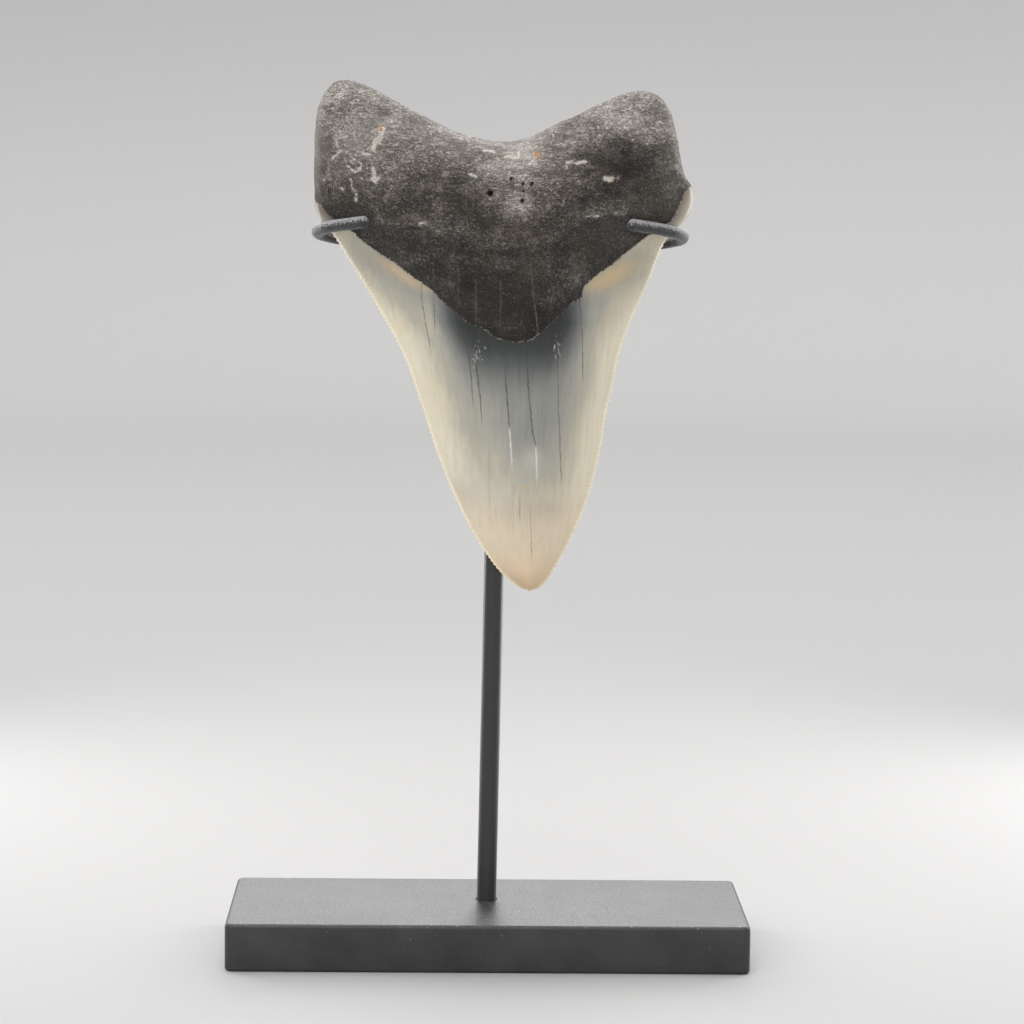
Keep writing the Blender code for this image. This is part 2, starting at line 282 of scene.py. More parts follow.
def curve_through(points, shares):
    """Places on a smooth curve through the points, at these shares of its length."""
    points = np.array(points, dtype=float)
    knots = lengths_along(points)
    places = smooth_between(knots, points, np.linspace(0, knots[-1], PLACES_PER_POINT * len(points)))
    lengths = lengths_along(places)
    wanted = np.asarray(shares) * lengths[-1]
    return np.stack([np.interp(wanted, lengths, part) for part in places.T], axis=1)


def cloud(places, size, seed):
    """Smooth random values from -1 to 1, which vary over this size in millimetres."""
    lattice = 64
    values = np.random.default_rng(seed).uniform(-1, 1, (lattice,) * 3)
    cell = np.floor(places / size).astype(int)
    f = places / size - cell
    f = f * f * (3 - 2 * f)
    total = 0
    for corner in itertools.product((0, 1), repeat=3):
        weight = np.prod(np.where(np.array(corner) == 1, f, 1 - f), axis=-1)
        i, j, k = np.moveaxis((cell + corner) % lattice, -1, 0)
        total = total + weight * values[i, j, k]
    return total


def round_bar(middles, radii, sides):
    """Vertices and faces of a closed bar. Its radius may differ at each ring and round each ring."""
    along = np.gradient(middles, axis=0)
    along /= np.linalg.norm(along, axis=1)[:, None]
    is_upright = abs(along[0][2]) > 0.5
    side = np.array([0, -1.0, 0]) if is_upright else np.array([0, 0, 1.0])
    turns = np.arange(sides) * 2 * np.pi / sides
    rings = []
    for middle, direction, radius in zip(middles, along, radii):
        side = side - direction * np.dot(side, direction)
        side = side / np.linalg.norm(side)
        other = np.cross(direction, side)
        reach = np.outer(np.cos(turns), side) + np.outer(np.sin(turns), other)
        rings.append(middle + np.reshape(radius, (-1, 1)) * reach)
    vertices = np.concatenate(rings)
    faces = []
    for first in range(0, len(vertices) - sides, sides):
        for k in range(sides):
            following = (k + 1) % sides
            faces.append([first + k, first + following, first + sides + following, first + sides + k])
    faces.append(list(range(sides)))
    faces.append(list(range(len(vertices) - sides, len(vertices))))
    return vertices, faces


def cradle_wire():
    """The bent wire, with rounded ends and the slight unevenness of its coat."""
    left_arm = np.linspace(LEFT_HOOK[-1], VERTEX, ARM_POINTS + 1)[1:]
    right_arm = np.linspace(VERTEX, RIGHT_HOOK[-1], ARM_POINTS + 1)[1:-1]
    route = [*LEFT_HOOK, *left_arm, *right_arm, *RIGHT_HOOK[::-1]]
    middles = curve_through(route, np.linspace(0, 1, WIRE_RINGS))
    radius = WIRE_DIAMETER / 2
    starts = middles[0] - middles[1]
    ends = middles[-1] - middles[-2]
    first = [middles[0] + starts / np.linalg.norm(starts) * radius * np.sin(t) for t in DOME_TURNS[::-1]]
    last = [middles[-1] + ends / np.linalg.norm(ends) * radius * np.sin(t) for t in DOME_TURNS]
    dome = radius * np.cos(DOME_TURNS)
    middles = np.concatenate([first, middles, last])
    radii = np.concatenate([dome[::-1], np.full(WIRE_RINGS, radius), dome])
    vertices, faces = round_bar(middles, radii, WIRE_SIDES)
    outwards = vertices - np.repeat(middles, WIRE_SIDES, axis=0)
    outwards /= np.linalg.norm(outwards, axis=1)[:, None]
    lumps = cloud(vertices, COAT_GRAIN, seed=3)[:, None]
    return vertices + outwards * COAT_RELIEF * lumps, faces


# Sprayed black enamel over wire: a pebbly coat, with pale grains on its top that are partly dust and partly
# a painted highlight.
black_coat = powder_coat(
    "sprayed_black_enamel", "#29292a", "#96959a", 0.34, 0.3, 0.30, dust_and_highlight=0.62, mirror=0.45, sheen=0.45,
)
add_piece("cradle_wire", *cradle_wire(), black_coat, "cradle", "coated_wire")

# ------------------------------------------------------------------------------------------ stem
# The stem is a 5 mm steel rod, turned true and set in the base with adhesive. Its top is filed to
# a saddle, and the braze runs out along the wire in two short fillets. It has a thin satin coat.
STEM_SIDES = 48
STEM_RINGS = 56
FILLET_RINGS = 24
CROWN_RINGS = 10
CLOSE_RINGS_REACH = 6.0
FILLET_REACH = 1.5
FILLET_LEVEL = 171.9
FILLET_HEIGHT = 1.2
FILLET_TURN = 0.5
CROWN_OF_STEM = 1.4


def stem_rod():
    """The rod from the bottom of its socket to its rounded top, with the fillets under the wire."""
    top = STEM_TOP[2]
    straight = np.linspace(STEM_FOOT[2], top - CLOSE_RINGS_REACH, STEM_RINGS)
    fine = np.linspace(top - CLOSE_RINGS_REACH, top - CROWN_OF_STEM, FILLET_RINGS)[1:]
    turn = np.linspace(0, np.pi / 2, CROWN_RINGS)[1:]
    crown = top - CROWN_OF_STEM + CROWN_OF_STEM * np.sin(turn)
    levels = np.concatenate([straight, fine, crown])
    share = (levels - STEM_FOOT[2]) / (top - STEM_FOOT[2])
    middles = STEM_FOOT + share[:, None] * (STEM_TOP - STEM_FOOT)
    radius = np.full(len(levels), STEM_DIAMETER / 2)
    radius[-len(turn):] -= CROWN_OF_STEM * (1 - np.cos(turn))
    turns = np.arange(STEM_SIDES) * 2 * np.pi / STEM_SIDES
    sideways = np.abs(np.abs(np.sin(turns)) - 1)
    fillet = FILLET_REACH * np.exp(-((levels - FILLET_LEVEL) / FILLET_HEIGHT) ** 2)
    radii = radius[:, None] + fillet[:, None] * np.exp(-(sideways / FILLET_TURN**2) ** 2)[None, :]
    return round_bar(middles, radii, STEM_SIDES)


# Satin black lacquer on a turned rod: smooth, with long soft highlights at its two sides.
satin_black = powder_coat(
    "satin_black_lacquer", "#323233", "#3a3a3c", 0.34, 0.6, 0.02, mirror=0.42, sheen=0.5,
)
add_piece("stem_rod", *stem_rod(), satin_black, "stem", "coated_rod")

# ----------------------------------------------------------------------------------------- tooth
# The tooth is one fossil. Its root is porous bone turned to dark phosphate rock, with two lobes
# over a long crown of hard enamel, whose cutting edges are finely serrated. Between them is the
# bourlette, a dark band of thinner enamel. Its curved inner (lingual) face is to the front.
LEFT_CORNER = (-42.1, 215.6)
RIGHT_CORNER = (42.5, 212.7)
TIP = (9.9, 92.0)
TOP_EDGE = [
    LEFT_CORNER, (-39.5, 218.2), (-36.7, 218.9), (-33.6, 218.2), (-29.3, 216.4), (-22.0, 212.5),
    (-14.6, 208.6), (-9.8, 206.4), (-4.8, 204.9), (1.2, 204.1), (7.4, 205.1), (12.2, 207.5),
    (19.5, 210.9), (26.8, 214.5), (31.7, 216.5), (35.3, 217.0), (39.0, 216.2), RIGHT_CORNER,
]
LEFT_EDGE = [
    LEFT_CORNER, (-43.7, 211.5), (-44.3, 206.5), (-44.6, 200.0), (-44.6, 191.5), (-44.2, 186.6),
    (-43.0, 183.8), (-40.2, 180.8), (-38.1, 177.6), (-34.3, 171.7), (-29.0, 162.9), (-22.5, 151.1),
    (-18.1, 139.2), (-14.1, 127.2), (-9.2, 115.3), (-4.5, 106.3), (-1.6, 101.7), (2.6, 96.5),
    (5.6, 94.0), (7.8, 92.6), TIP,
]
RIGHT_EDGE = [
    RIGHT_CORNER, (43.7, 209.2), (44.8, 205.0), (45.7, 200.0), (46.8, 196.4), (48.5, 193.8),
    (49.1, 190.4), (48.2, 187.0), (45.9, 183.8), (43.0, 180.7), (40.6, 175.5), (38.4, 169.5),
    (34.6, 160.6), (31.6, 151.6), (29.9, 142.6), (28.6, 136.7), (27.8, 130.6), (26.0, 121.6),
    (23.3, 112.6), (19.4, 103.5), (16.6, 98.4), (14.0, 94.5), (12.1, 92.8), TIP,
]

# Depths, as (share of the length from lobes to tip, y) pairs.
EDGE_PLANE = [(0, -9.5), (0.10, -8.2), (0.22, -5.5), (0.36, -3.3), (0.60, -2.8), (1, -3.0)]
FRONT_MIDDLE = [
    (0, -21.5), (0.07, -23.8), (0.14, -24.3), (0.22, -23.0), (0.32, -20.2), (0.44, -16.8),
    (0.60, -13.6), (0.76, -11.0), (0.88, -8.3), (0.95, -6.0), (1, -3.0),
]
BACK_MIDDLE = [
    (0, -4.2), (0.07, -2.2), (0.15, -0.8), (0.25, 0), (0.42, 0.1), (0.60, 0.1), (0.80, -0.4),
    (0.92, -1.5), (1, -3.0),
]
ROOT_SHARE = [(0, 1), (0.16, 1), (0.24, 0.72), (0.34, 0.22), (0.42, 0), (1, 0)]
LOBE_THICKNESS = 0.62
PROTUBERANCE_WIDTH = 0.46
TOP_ROUNDING = 0.075
BLADE_THINNING = 1.2

# Swellings and hollows of the two faces, as (x, z, reach across, reach up, height).
FRONT_RELIEF = [
    (-34.0, 204.0, 7.0, 6.0, -0.7), (-18.0, 198.5, 10.0, 5.0, 0.6), (20.0, 196.0, 10.0, 6.0, 0.7),
    (31.0, 206.0, 8.0, 6.0, 0.4), (1.0, 187.0, 14.0, 3.5, 0.5), (3.0, 178.0, 15.0, 3.5, -0.5),
]
BACK_RELIEF = [
    (2.0, 185.0, 14.0, 9.0, -0.9), (-26.0, 203.0, 9.0, 7.0, -0.5), (28.0, 202.0, 9.0, 7.0, -0.5),
]

# Where the enamel ends, from the left shoulder to the right one. The enamel is below each line.
# On the front it ends in a deep chevron under the bourlette, and on the back in a shallow arc.
FRONT_BORDER = [
    (-46.0, 191.3), (-44.0, 189.2), (-42.3, 187.5), (-40.5, 185.5), (-37.9, 183.6), (-35.0, 181.7),
    (-31.8, 178.9), (-28.1, 176.4), (-24.4, 174.3), (-21.3, 171.8), (-18.7, 170.1), (-16.7, 168.9),
    (-13.8, 166.2), (-11.8, 164.4), (-10.0, 163.1), (-8.5, 161.6), (-6.2, 160.0), (-3.6, 159.3),
    (0.2, 156.8), (2.0, 156.1), (5.8, 155.7), (9.5, 156.4), (11.0, 157.7), (13.2, 159.6),
    (16.9, 162.9), (19.2, 165.2), (21.1, 166.1), (21.8, 168.6), (24.4, 171.4), (27.4, 173.4),
    (30.7, 176.0), (36.1, 180.3), (39.3, 182.5), (43.2, 185.2), (45.2, 189.2), (46.8, 193.1),
    (50.0, 194.6),
]
BACK_BORDER = [
    (-46.0, 191.3), (-40.0, 187.6), (-30.0, 183.4), (-15.0, 179.3), (2.0, 177.6), (18.0, 179.9),
    (33.0, 185.0), (43.0, 190.4), (50.0, 194.6),
]
BORDER_POINTS = 160

# The lattice, crowded towards the side edges. Each band of rows is (the share of the tooth's length
# where it ends, rows, steps between the columns kept in front, and behind).
COLUMNS = 240
CROWDING = 0.65
BANDS = [
    (TOP_ROUNDING, 36, 1, 3), (0.235, 56, 1, 3), (0.42, 86, 1, 3), (0.80, 190, 2, 3), (1, 100, 4, 6),
]
BACK_ROW_STEP = 2

# Serrations of the cutting edges. They are worn, and die out at the shoulders and at the tip.
SERRATION_PITCH = 1.1
SERRATION_DEPTH = 0.22
SERRATION_REACH = 0.7
SERRATION_DRIFT = 0.35
DRIFT_SIZE = 4.0
RIDGE_HEIGHT = 0.05
RIDGE_REACH = 0.7
EDGE_ANGLE = np.radians(72)
SHOULDER_LEVEL = 184.0
SHOULDER_FADE = 4
TIP_FADE = (1, 8)

# The skin lies this far inside the solid, which makes room for its relief.
SKIN_ALLOWANCE = 0.25
ALLOWANCE_REACH = 1.5

# Relief: heights, and the sizes of the grain, as one size or as those across, deep and up.
LUMP_HEIGHT = 0.18
LUMP_SIZES = (9.0, 3.4)
STRATA_HEIGHT = 0.16
STRATA_SIZE = (4.5, 3.0, 1.5)
GRAIN_HEIGHT = 0.09
LAYER_SIZE = (2.0, 1.0, 0.75)
FIBRE_SIZE = (0.75, 0.75, 3.5)
FINE_HEIGHT = 0.05
FINE_SIZE = 0.75
RIPPLE_HEIGHT = 0.05
RIPPLE_SIZE = (2.6, 2.6, 30.0)
WORN_LEVELS = (211.0, 217.0)
WORN_SHARE = 0.75
BOURLETTE_STEP = 0.16

# Two ridges cross the root. Each rises slowly from above and falls steeply below its line.
LIP_REACH_ABOVE = 2.2
LIP_REACH_BELOW = 0.7
LIP_WANDER = 0.6
LIP_WANDER_SIZE = 2.5
WAVY_RIDGE_HEIGHT = 0.45
LOWER_RIDGE_HEIGHT = 0.25
BREAKS_IN_RIDGES = 0.35
BREAK_SIZE = 3.0
WAVY_RIDGE = [
    (-26.8, 184.4), (-23.1, 183.9), (-18.5, 184.3), (-14.6, 182.9), (-10.7, 181.8), (-6.9, 180.1),
    (-3.0, 179.2), (1.1, 179.1), (5.9, 179.1), (10.7, 180.1), (15.1, 181.3), (18.0, 183.7),
    (21.8, 186.7), (25.3, 187.2), (31.5, 187.4), (36.5, 186.5),
]
LOWER_RIDGE = [(-18.7, 175.1), (-13.4, 176.4), (-6.1, 175.0), (1.2, 173.2), (8.0, 174.8), (14.5, 175.6)]

# Openings of the blood vessels, as (x, z, radius, depth).
FORAMINA = [
    (-1.4, 191.7, 0.75, 1.4), (3.6, 195.2, 0.5, 0.6), (6.5, 194.0, 0.5, 0.7),
    (6.5, 192.3, 0.42, 0.6), (8.6, 194.1, 0.55, 0.8), (6.3, 190.0, 0.55, 0.8),
]

# What the sea left on the root: worm tubes and crusts of lime, as (half width, height, points), and
# spots of rust. Their sides slope, and their outlines wander a little.
CRUST_SLOPE = (-0.3, 0.35)
CRUST_WANDER = 0.4
CRUST_WANDER_SIZE = 1.2
LIME = [
    (0.85, 0.50, [(-27.8, 206.4), (-27.7, 205.5), (-28.6, 203.8), (-29.5, 202.4)]),
    (0.55, 0.30, [(-29.9, 201.7), (-29.3, 201.4)]),
    (0.50, 0.25, [(-32.2, 200.7), (-30.9, 200.5)]),
    (0.15, 0.10, [(-33.7, 208.1), (-34.4, 205.7), (-34.2, 204.0)]),
    (0.10, 0.08, [(-36.0, 207.4), (-34.4, 205.7), (-32.6, 207.0)]),
    (0.10, 0.05, [(-35.4, 199.6), (-33.6, 197.0)]),
    (0.28, 0.18, [(-38.6, 204.0), (-38.2, 202.5), (-37.8, 201.2), (-39.8, 199.4)]),
    (0.20, 0.12, [(-38.1, 204.0), (-35.6, 205.0), (-33.9, 205.9)]),
    (0.24, 0.15, [(-37.8, 201.2), (-35.9, 200.9), (-34.6, 199.9), (-32.9, 198.5), (-33.0, 196.8)]),
    (0.24, 0.15, [(-33.0, 196.8), (-33.9, 196.1), (-35.9, 197.8), (-36.6, 199.5)]),
    (0.18, 0.12, [(-33.9, 205.0), (-33.5, 201.9), (-33.9, 200.2)]),
    (0.18, 0.08, [(-42.5, 194.3), (-40.0, 194.2)]),
    (0.35, 0.15, [(-37.9, 192.4), (-37.4, 192.0)]),
    (0.25, 0.12, [(-35.2, 194.4), (-34.9, 192.7), (-34.1, 191.7), (-33.8, 190.8), (-33.9, 189.3)]),
    (0.60, 0.25, [(-29.7, 197.2), (-29.4, 195.9), (-29.7, 194.5), (-28.9, 194.2), (-28.4, 195.0)]),
    (0.30, 0.15, [(-31.2, 197.5), (-31.0, 197.2)]),
    (0.35, 0.15, [(-32.9, 210.3), (-31.9, 209.5)]),
    (0.28, 0.12, [(-26.4, 201.5), (-25.0, 201.5)]),
    (0.16, 0.08, [(-26.4, 207.5), (-23.8, 207.7)]),
    (0.25, 0.10, [(-21.6, 207.7), (-21.2, 207.5)]),
    (0.22, 0.10, [(-25.6, 208.6), (-25.3, 208.4)]),
    (0.25, 0.08, [(-23.4, 195.3), (-23.1, 195.3)]),
    (0.22, 0.06, [(-18.7, 184.0), (-16.8, 184.4)]),
    (0.50, 0.20, [(-6.2, 196.0), (-4.9, 195.5)]),
    (0.38, 0.10, [(-3.0, 201.7), (-0.2, 201.7)]),
    (0.48, 0.12, [(2.1, 200.4), (4.0, 199.9), (5.2, 200.2), (5.7, 201.6)]),
    (0.38, 0.12, [(8.6, 199.5), (7.5, 198.3)]),
    (0.42, 0.20, [(9.2, 201.3), (9.4, 200.1)]),
    (0.40, 0.18, [(17.1, 197.7), (16.8, 198.4), (17.4, 199.0), (18.7, 199.4)]),
    (0.42, 0.15, [(19.4, 199.0), (21.4, 199.3)]),
    (0.75, 0.30, [(26.6, 195.6), (27.8, 195.5)]),
    (0.28, 0.12, [(29.5, 195.5), (29.7, 195.5)]),
    (0.28, 0.12, [(29.2, 206.8), (29.8, 206.6)]),
    (0.22, 0.10, [(32.8, 204.7), (33.0, 204.7)]),
    (0.22, 0.06, [(16.1, 190.0), (16.1, 189.4)]),
    (0.20, 0.05, [(21.7, 186.3), (25.1, 186.5)]),
    (0.20, 0.05, [(28.9, 187.5), (31.2, 186.9)]),
]
RUST = [
    (0.50, [(-27.9, 206.9), (-27.8, 206.4)]), (0.62, [(9.7, 201.5), (9.9, 200.3)]),
    (0.28, [(28.8, 195.5), (29.1, 195.5)]), (0.16, [(-34.3, 191.9), (-33.9, 191.2)]),
    (0.45, [(7.0, 119.2), (8.0, 119.7)]), (0.26, [(-30.8, 168.5), (-30.6, 168.3)]),
]

# How pale the bone is, from 0 to 1, by level and then in patches, each (x, z, reach across, reach
# up, amount). It is pale in the groove and stained dark near the enamel. Its rise in paleness to the
# lobes' tops, and the pale patches there and along both side margins, are partly painted light from
# above and painted rim highlights. Raised relief is painted paler too, a painted highlight.
RELIEF_PAINTED_PALER = 0.38
BACK_BONE = 0.85
BONE_LEVELS = [158, 166, 171, 176, 184, 190, 195, 200, 206, 213]
BONE_TONES = [0.04, 0.07, 0.11, 0.17, 0.24, 0.34, 0.47, 0.59, 0.66, 0.69]
BONE_PATCHES = [
    (7.0, 196.0, 8.0, 6.0, 0.20), (6.0, 201.5, 5.0, 2.5, 0.18), (5.2, 188.3, 4.4, 3.4, 0.44),
    (18.0, 190.5, 5.0, 4.0, -0.14), (31.0, 197.0, 8.0, 6.5, -0.36), (31.0, 202.0, 10.0, 4.0, -0.24),
    (33.0, 208.5, 8.0, 3.5, 0.16), (-26.0, 197.0, 6.0, 3.5, -0.03), (-34.0, 203.0, 4.5, 5.0, 0.20),
    (-13.5, 187.0, 4.0, 4.0, 0.07), (-45.0, 200.0, 3.0, 16.0, 0.14), (47.0, 195.0, 5.0, 12.0, 0.14),
    (18.5, 171.5, 6.0, 5.0, 0.25), (13.0, 165.8, 2.6, 2.0, 0.22), (-12.5, 169.0, 4.0, 4.0, 0.08),
    (1.5, 176.5, 4.0, 1.5, -0.07), (-20.0, 207.0, 10.0, 3.0, 0.08),
]
SMOOTH_PATCHES = [
    (40.0, 190.0, 9.0, 8.0, 0.9), (30.0, 182.0, 9.0, 4.0, 0.7), (-36.0, 186.0, 9.0, 5.0, 0.7),
    (-45.5, 203.0, 3.5, 16.0, 1.0), (2.0, 164.0, 8.0, 8.0, 0.5),
]

# Growth lines of the bourlette, which run down it, as (points, how plain it is at the top, and at
# the bottom).
STRIAE = [
    ([(-14.9, 174.9), (-14.9, 168.0)], 0.3, 0.2), ([(-9.0, 174.0), (-8.8, 165.5)], 0.4, 0.35),
    ([(-4.7, 169.7), (-4.5, 160.6)], 0.35, 0.4), ([(1.5, 169.8), (1.5, 159.3)], 0.5, 0.4),
    ([(8.7, 173.3), (9.3, 167.2), (10.1, 163.0), (10.7, 157.8)], 0.55, 1.0),
    ([(19.2, 174.5), (20.2, 166.6)], 0.35, 0.25),
]
CHIPPED_BORDER = [(-1.3, 158.2, 2.2, 2.0, 1.0), (7.0, 156.0, 5.0, 1.6, 1.0)]

# Hairlines down the enamel, from left to right, as (points, how plain it is, the level below which
# white dust fills it). Each line runs on past its ends, and only fades there.
CRACKS = [
    ([(-18.0, 169.8), (-17.9, 165.3), (-16.9, 159.1), (-15.6, 152.9)], 0.8, 0.0),
    ([(-15.1, 166.5), (-14.8, 163.0), (-14.6, 158.0)], 0.9, 0.0),
    ([(-6.8, 154.6), (-6.0, 150.4), (-5.4, 144.7), (-5.1, 140.4)], 0.9, 0.0),
    ([(-4.7, 152.9), (-4.1, 148.0), (-3.4, 142.3), (-2.8, 136.0)], 1.0, 0.0),
    ([(2.8, 148.4), (3.4, 141.2), (4.1, 133.5), (4.8, 125.0)], 1.0, 134.0),
    ([(8.1, 150.2), (8.9, 141.3), (9.9, 133.0), (10.7, 129.8), (11.1, 121.2)], 1.0, 129.5),
    ([(15.7, 153.6), (16.3, 138.6), (17.3, 121.0)], 0.7, 0.0),
    ([(20.3, 169.3), (21.3, 163.4), (22.0, 155.9), (22.3, 146.4)], 0.8, 0.0),
]
SHORT_CRACKS = [
    ([(-0.9, 127.3), (-0.7, 113.3)], 0.3, 0.0), ([(5.2, 118.7), (5.4, 108.5)], 0.3, 0.0),
    ([(6.8, 116.2), (7.0, 111.6)], 0.8, 0.0), ([(9.6, 114.0), (10.1, 101.0)], 0.7, 0.0),
    ([(11.0, 141.2), (11.1, 135.5)], 0.6, 0.0),
]
CRACK_FADE = 2.5

# An offset for where a line or crust isn't anywhere near.
FAR_OFF = 9.0

# Amber and shade gather where the shoulders narrow, and the pale line along the cutting edges, partly
# the thin enamel's own colour and partly a painted highlight, ends below them.
SHOULDER_SHADE_LEVELS = (183, 187)
SHOULDER_SHADE_ASIDE = (35, 40)
SHOULDER_AMBER = 0.38
RIM_FADE = 2
RIM_FADE_LEVELS = (182, 187)

# The dark stain of the enamel leans with the crown. Its black middle, the grey below it and the
# faint grey of the whole body each have a depth by level, as (levels, amounts).
STAIN_MIDDLE = 5.0
STAIN_LEAN = 0.1
STAIN_TOP = 160.0
STAIN_SIDE = 9.5
BLACK_DEPTH = ([138, 142, 146, 151, 155, 160], [0, 0.04, 0.17, 0.46, 0.68, 0.80])
BLACK_LEFT = ([150, 160], [-18, -21])
BLACK_RIGHT = ([145, 160], [14, 20])
GREY_DEPTH = ([116, 122, 131, 141], [0, 0.05, 0.15, 0.14])
GREY_REACH = ([121, 131, 141, 150], [6.5, 7.5, 11.5, 13.5])
BODY_DEPTH = ([95, 107, 118, 135], [0, 0.06, 0.12, 0.19])

# Smaller marks of the enamel, each (x, z, reach across, reach up, amount): white flecks where it has
# chipped, lilac clouds and pale ones.
FLECKS = [(-4.0, 152.0, 2.6, 5.0, 1.0), (-7.5, 147.0, 1.6, 2.0, 0.8), (15.6, 153.5, 1.6, 5.5, 1.0)]
LILAC_CLOUDS = [(-7.5, 117.0, 6.0, 5.0, 0.6), (12.0, 114.0, 6.0, 3.0, 0.7)]
PALE_CLOUDS = [(-2.5, 118.0, 4.5, 4.5, 0.8), (2.5, 116.8, 2.5, 3.0, 0.6), (10.0, 126.5, 2.5, 3.0, 0.8)]


def value_along(keys, shares):
    """A smooth value at each share, through (share, value) keys."""
    at, value = np.array(keys, dtype=float).T
    return smooth_between(at, value, shares)


def hills(forms, x, z):
    """Sum of smooth hills at x and z, each (x, z, reach across, reach up, height)."""
    return sum(
        height * np.exp(-(((x - middle) / across) ** 2) - ((z - level) / up) ** 2)
        for middle, level, across, up, height in forms
    )


def tooth_faces_at(across, down):
    """(x, z, y of the front, y of the back) of the tooth, on a grid of shares across and down it."""
    left = curve_through(LEFT_EDGE, down)[:, None, :]
    right = curve_through(RIGHT_EDGE, down)[:, None, :]
    top = curve_through(TOP_EDGE, across)[None, :, :]
    s = across[None, :, None]
    t = down[:, None, None]
    straight_top = (1 - s) * np.array(LEFT_CORNER) + s * np.array(RIGHT_CORNER)
    outline = (1 - s) * left + s * right + (1 - t) * (top - straight_top)

    u = np.abs(2 * across - 1)[None, :]
    root = np.clip(value_along(ROOT_SHARE, down), 0, 1)[:, None]
    blade = (1 - u**2) ** BLADE_THINNING
    swell = LOBE_THICKNESS + (1 - LOBE_THICKNESS) * np.exp(-((u / PROTUBERANCE_WIDTH) ** 2))
    rounded = np.sqrt(np.clip(1 - u**4, 0, 1))
    from_top = np.clip(down / TOP_ROUNDING, 0, 1)[:, None]
    closing = np.sqrt(1 - (1 - from_top) ** 2)
    edge = value_along(EDGE_PLANE, down)[:, None]
    reach_front = (edge - value_along(FRONT_MIDDLE, down)[:, None]) * closing
    reach_back = (value_along(BACK_MIDDLE, down)[:, None] - edge) * closing
    front_form = (1 - root) * blade + root * rounded * swell
    back_form = (1 - root) * (1 - u**2) + root * rounded

    x, z = outline[..., 0], outline[..., 1]
    inside = rounded * closing
    front = edge - reach_front * front_form - inside * hills(FRONT_RELIEF, x, z)
    back = edge + reach_back * back_form + inside * hills(BACK_RELIEF, x, z)
    return x, z, front, back


def lattice_shares():
    """Shares across the tooth and down it, and the steps between kept columns at each row."""
    angle = np.linspace(0, np.pi, COLUMNS + 1)
    across = CROWDING * (1 - np.cos(angle)) / 2 + (1 - CROWDING) * angle / np.pi
    down, steps = [np.zeros(1)], [BANDS[0][2:]]
    for share, rows, *step in BANDS:
        turn = np.linspace(0, np.pi / 2, rows + 1)[1:]
        round_top = share * (1 - np.cos(turn))
        start = down[-1][-1]
        down.append(round_top if start == 0 else np.linspace(start, share, rows + 1)[1:])
        steps += [step] * rows
    return across, np.concatenate(down), np.array([list(step) for step in steps])


def distance_to(line, x, z):
    """Distance across the face from each place to the line through these points."""
    nearest = np.full(x.shape, np.inf)
    for (x0, z0), (x1, z1) in zip(line[:-1], line[1:]):
        dx, dz = x1 - x0, z1 - z0
        share = np.clip(((x - x0) * dx + (z - z0) * dz) / (dx**2 + dz**2), 0, 1)
        nearest = np.minimum(nearest, np.hypot(x - x0 - share * dx, z - z0 - share * dz))
    return nearest


def depth_into_enamel(border, x, z):
    """Distance from the enamel's border, above 0 in the enamel and below 0 in the root."""
    line = curve_through(border, np.linspace(0, 1, BORDER_POINTS))
    level = np.interp(x, line[:, 0], line[:, 1])
    return np.where(z < level, 1, -1) * distance_to(line, x, z)


def rise(value, low, high):
    """A smooth step from 0 at low to 1 at high."""
    share = np.clip((value - low) / (high - low), 0, 1)
    return share * share * (3 - 2 * share)


def along_edge(x, z, column):
    """Distance in from a side edge, distance along it, and the edge's outward direction."""
    edge = np.stack([x[:, column], z[:, column]], axis=1)
    tangent = np.gradient(edge, axis=0)
    tangent /= np.linalg.norm(tangent, axis=1)[:, None] + 1e-9
    outwards = np.stack([tangent[:, 1], -tangent[:, 0]], axis=1)
    outwards *= np.sign(edge[:, 0] - x[:, COLUMNS // 2] + 1e-9)[:, None] * np.sign(outwards[:, :1])
    away = np.stack([x, z], axis=-1) - edge[:, None, :]
    inwards = np.abs(away[..., 0] * tangent[:, None, 1] - away[..., 1] * tangent[:, None, 0])
    along = lengths_along(edge)[:, None] + (away * tangent[:, None, :]).sum(-1)
    return inwards, along, outwards


def facing_out(places, sign):
    """Unit directions out of a lattice of places, which faces the front (-1) or the back (1)."""
    across = np.gradient(places, axis=1)
    down = np.gradient(places, axis=0)
    out = np.cross(down, across)
    out *= np.sign(out[..., 1:2] * sign + 1e-12)
    return out / (np.linalg.norm(out, axis=-1)[..., None] + 1e-12)


def stroke_depths(strokes, x, z):
    """How far each place is inside the widest stroke there, each (half width, ..., points)."""
    return np.max([half - distance_to(points, x, z) for half, *_, points in strokes], axis=0)


def lip(line, places):
    """A ridge along the line, 1 high, that rises slowly from above and falls steeply below."""
    x, z = places[..., 0], places[..., 2] + LIP_WANDER * cloud(places, LIP_WANDER_SIZE, seed=32)
    level = np.interp(x, *np.array(line).T)
    reach = np.where(z > level, LIP_REACH_ABOVE, LIP_REACH_BELOW)
    return np.exp(-((distance_to(line, x, z) / reach) ** 2))


def root_height(places, enamel, smooth):
    """Relief of the root: rounded lumps, porous grain, and fibres that run down the bourlette."""
    low_root = rise(enamel, -16, -7)
    large, small = (cloud(places, size, seed) for size, seed in zip(LUMP_SIZES, (11, 12)))
    lumps = LUMP_HEIGHT * large + LUMP_HEIGHT * small
    strata = STRATA_HEIGHT * cloud(places / STRATA_SIZE, 1.0, seed=16)
    layered = cloud(places / LAYER_SIZE, 1.0, seed=13)
    fibres = cloud(places / FIBRE_SIZE, 1.0, seed=14)
    grain = (1 - low_root) * layered + low_root * fibres
    fine = cloud(places, FINE_SIZE, seed=15)
    lumps = (lumps + strata) * (1 - 0.6 * low_root)
    return lumps + (1 - smooth) * (GRAIN_HEIGHT * grain + FINE_HEIGHT * fine)


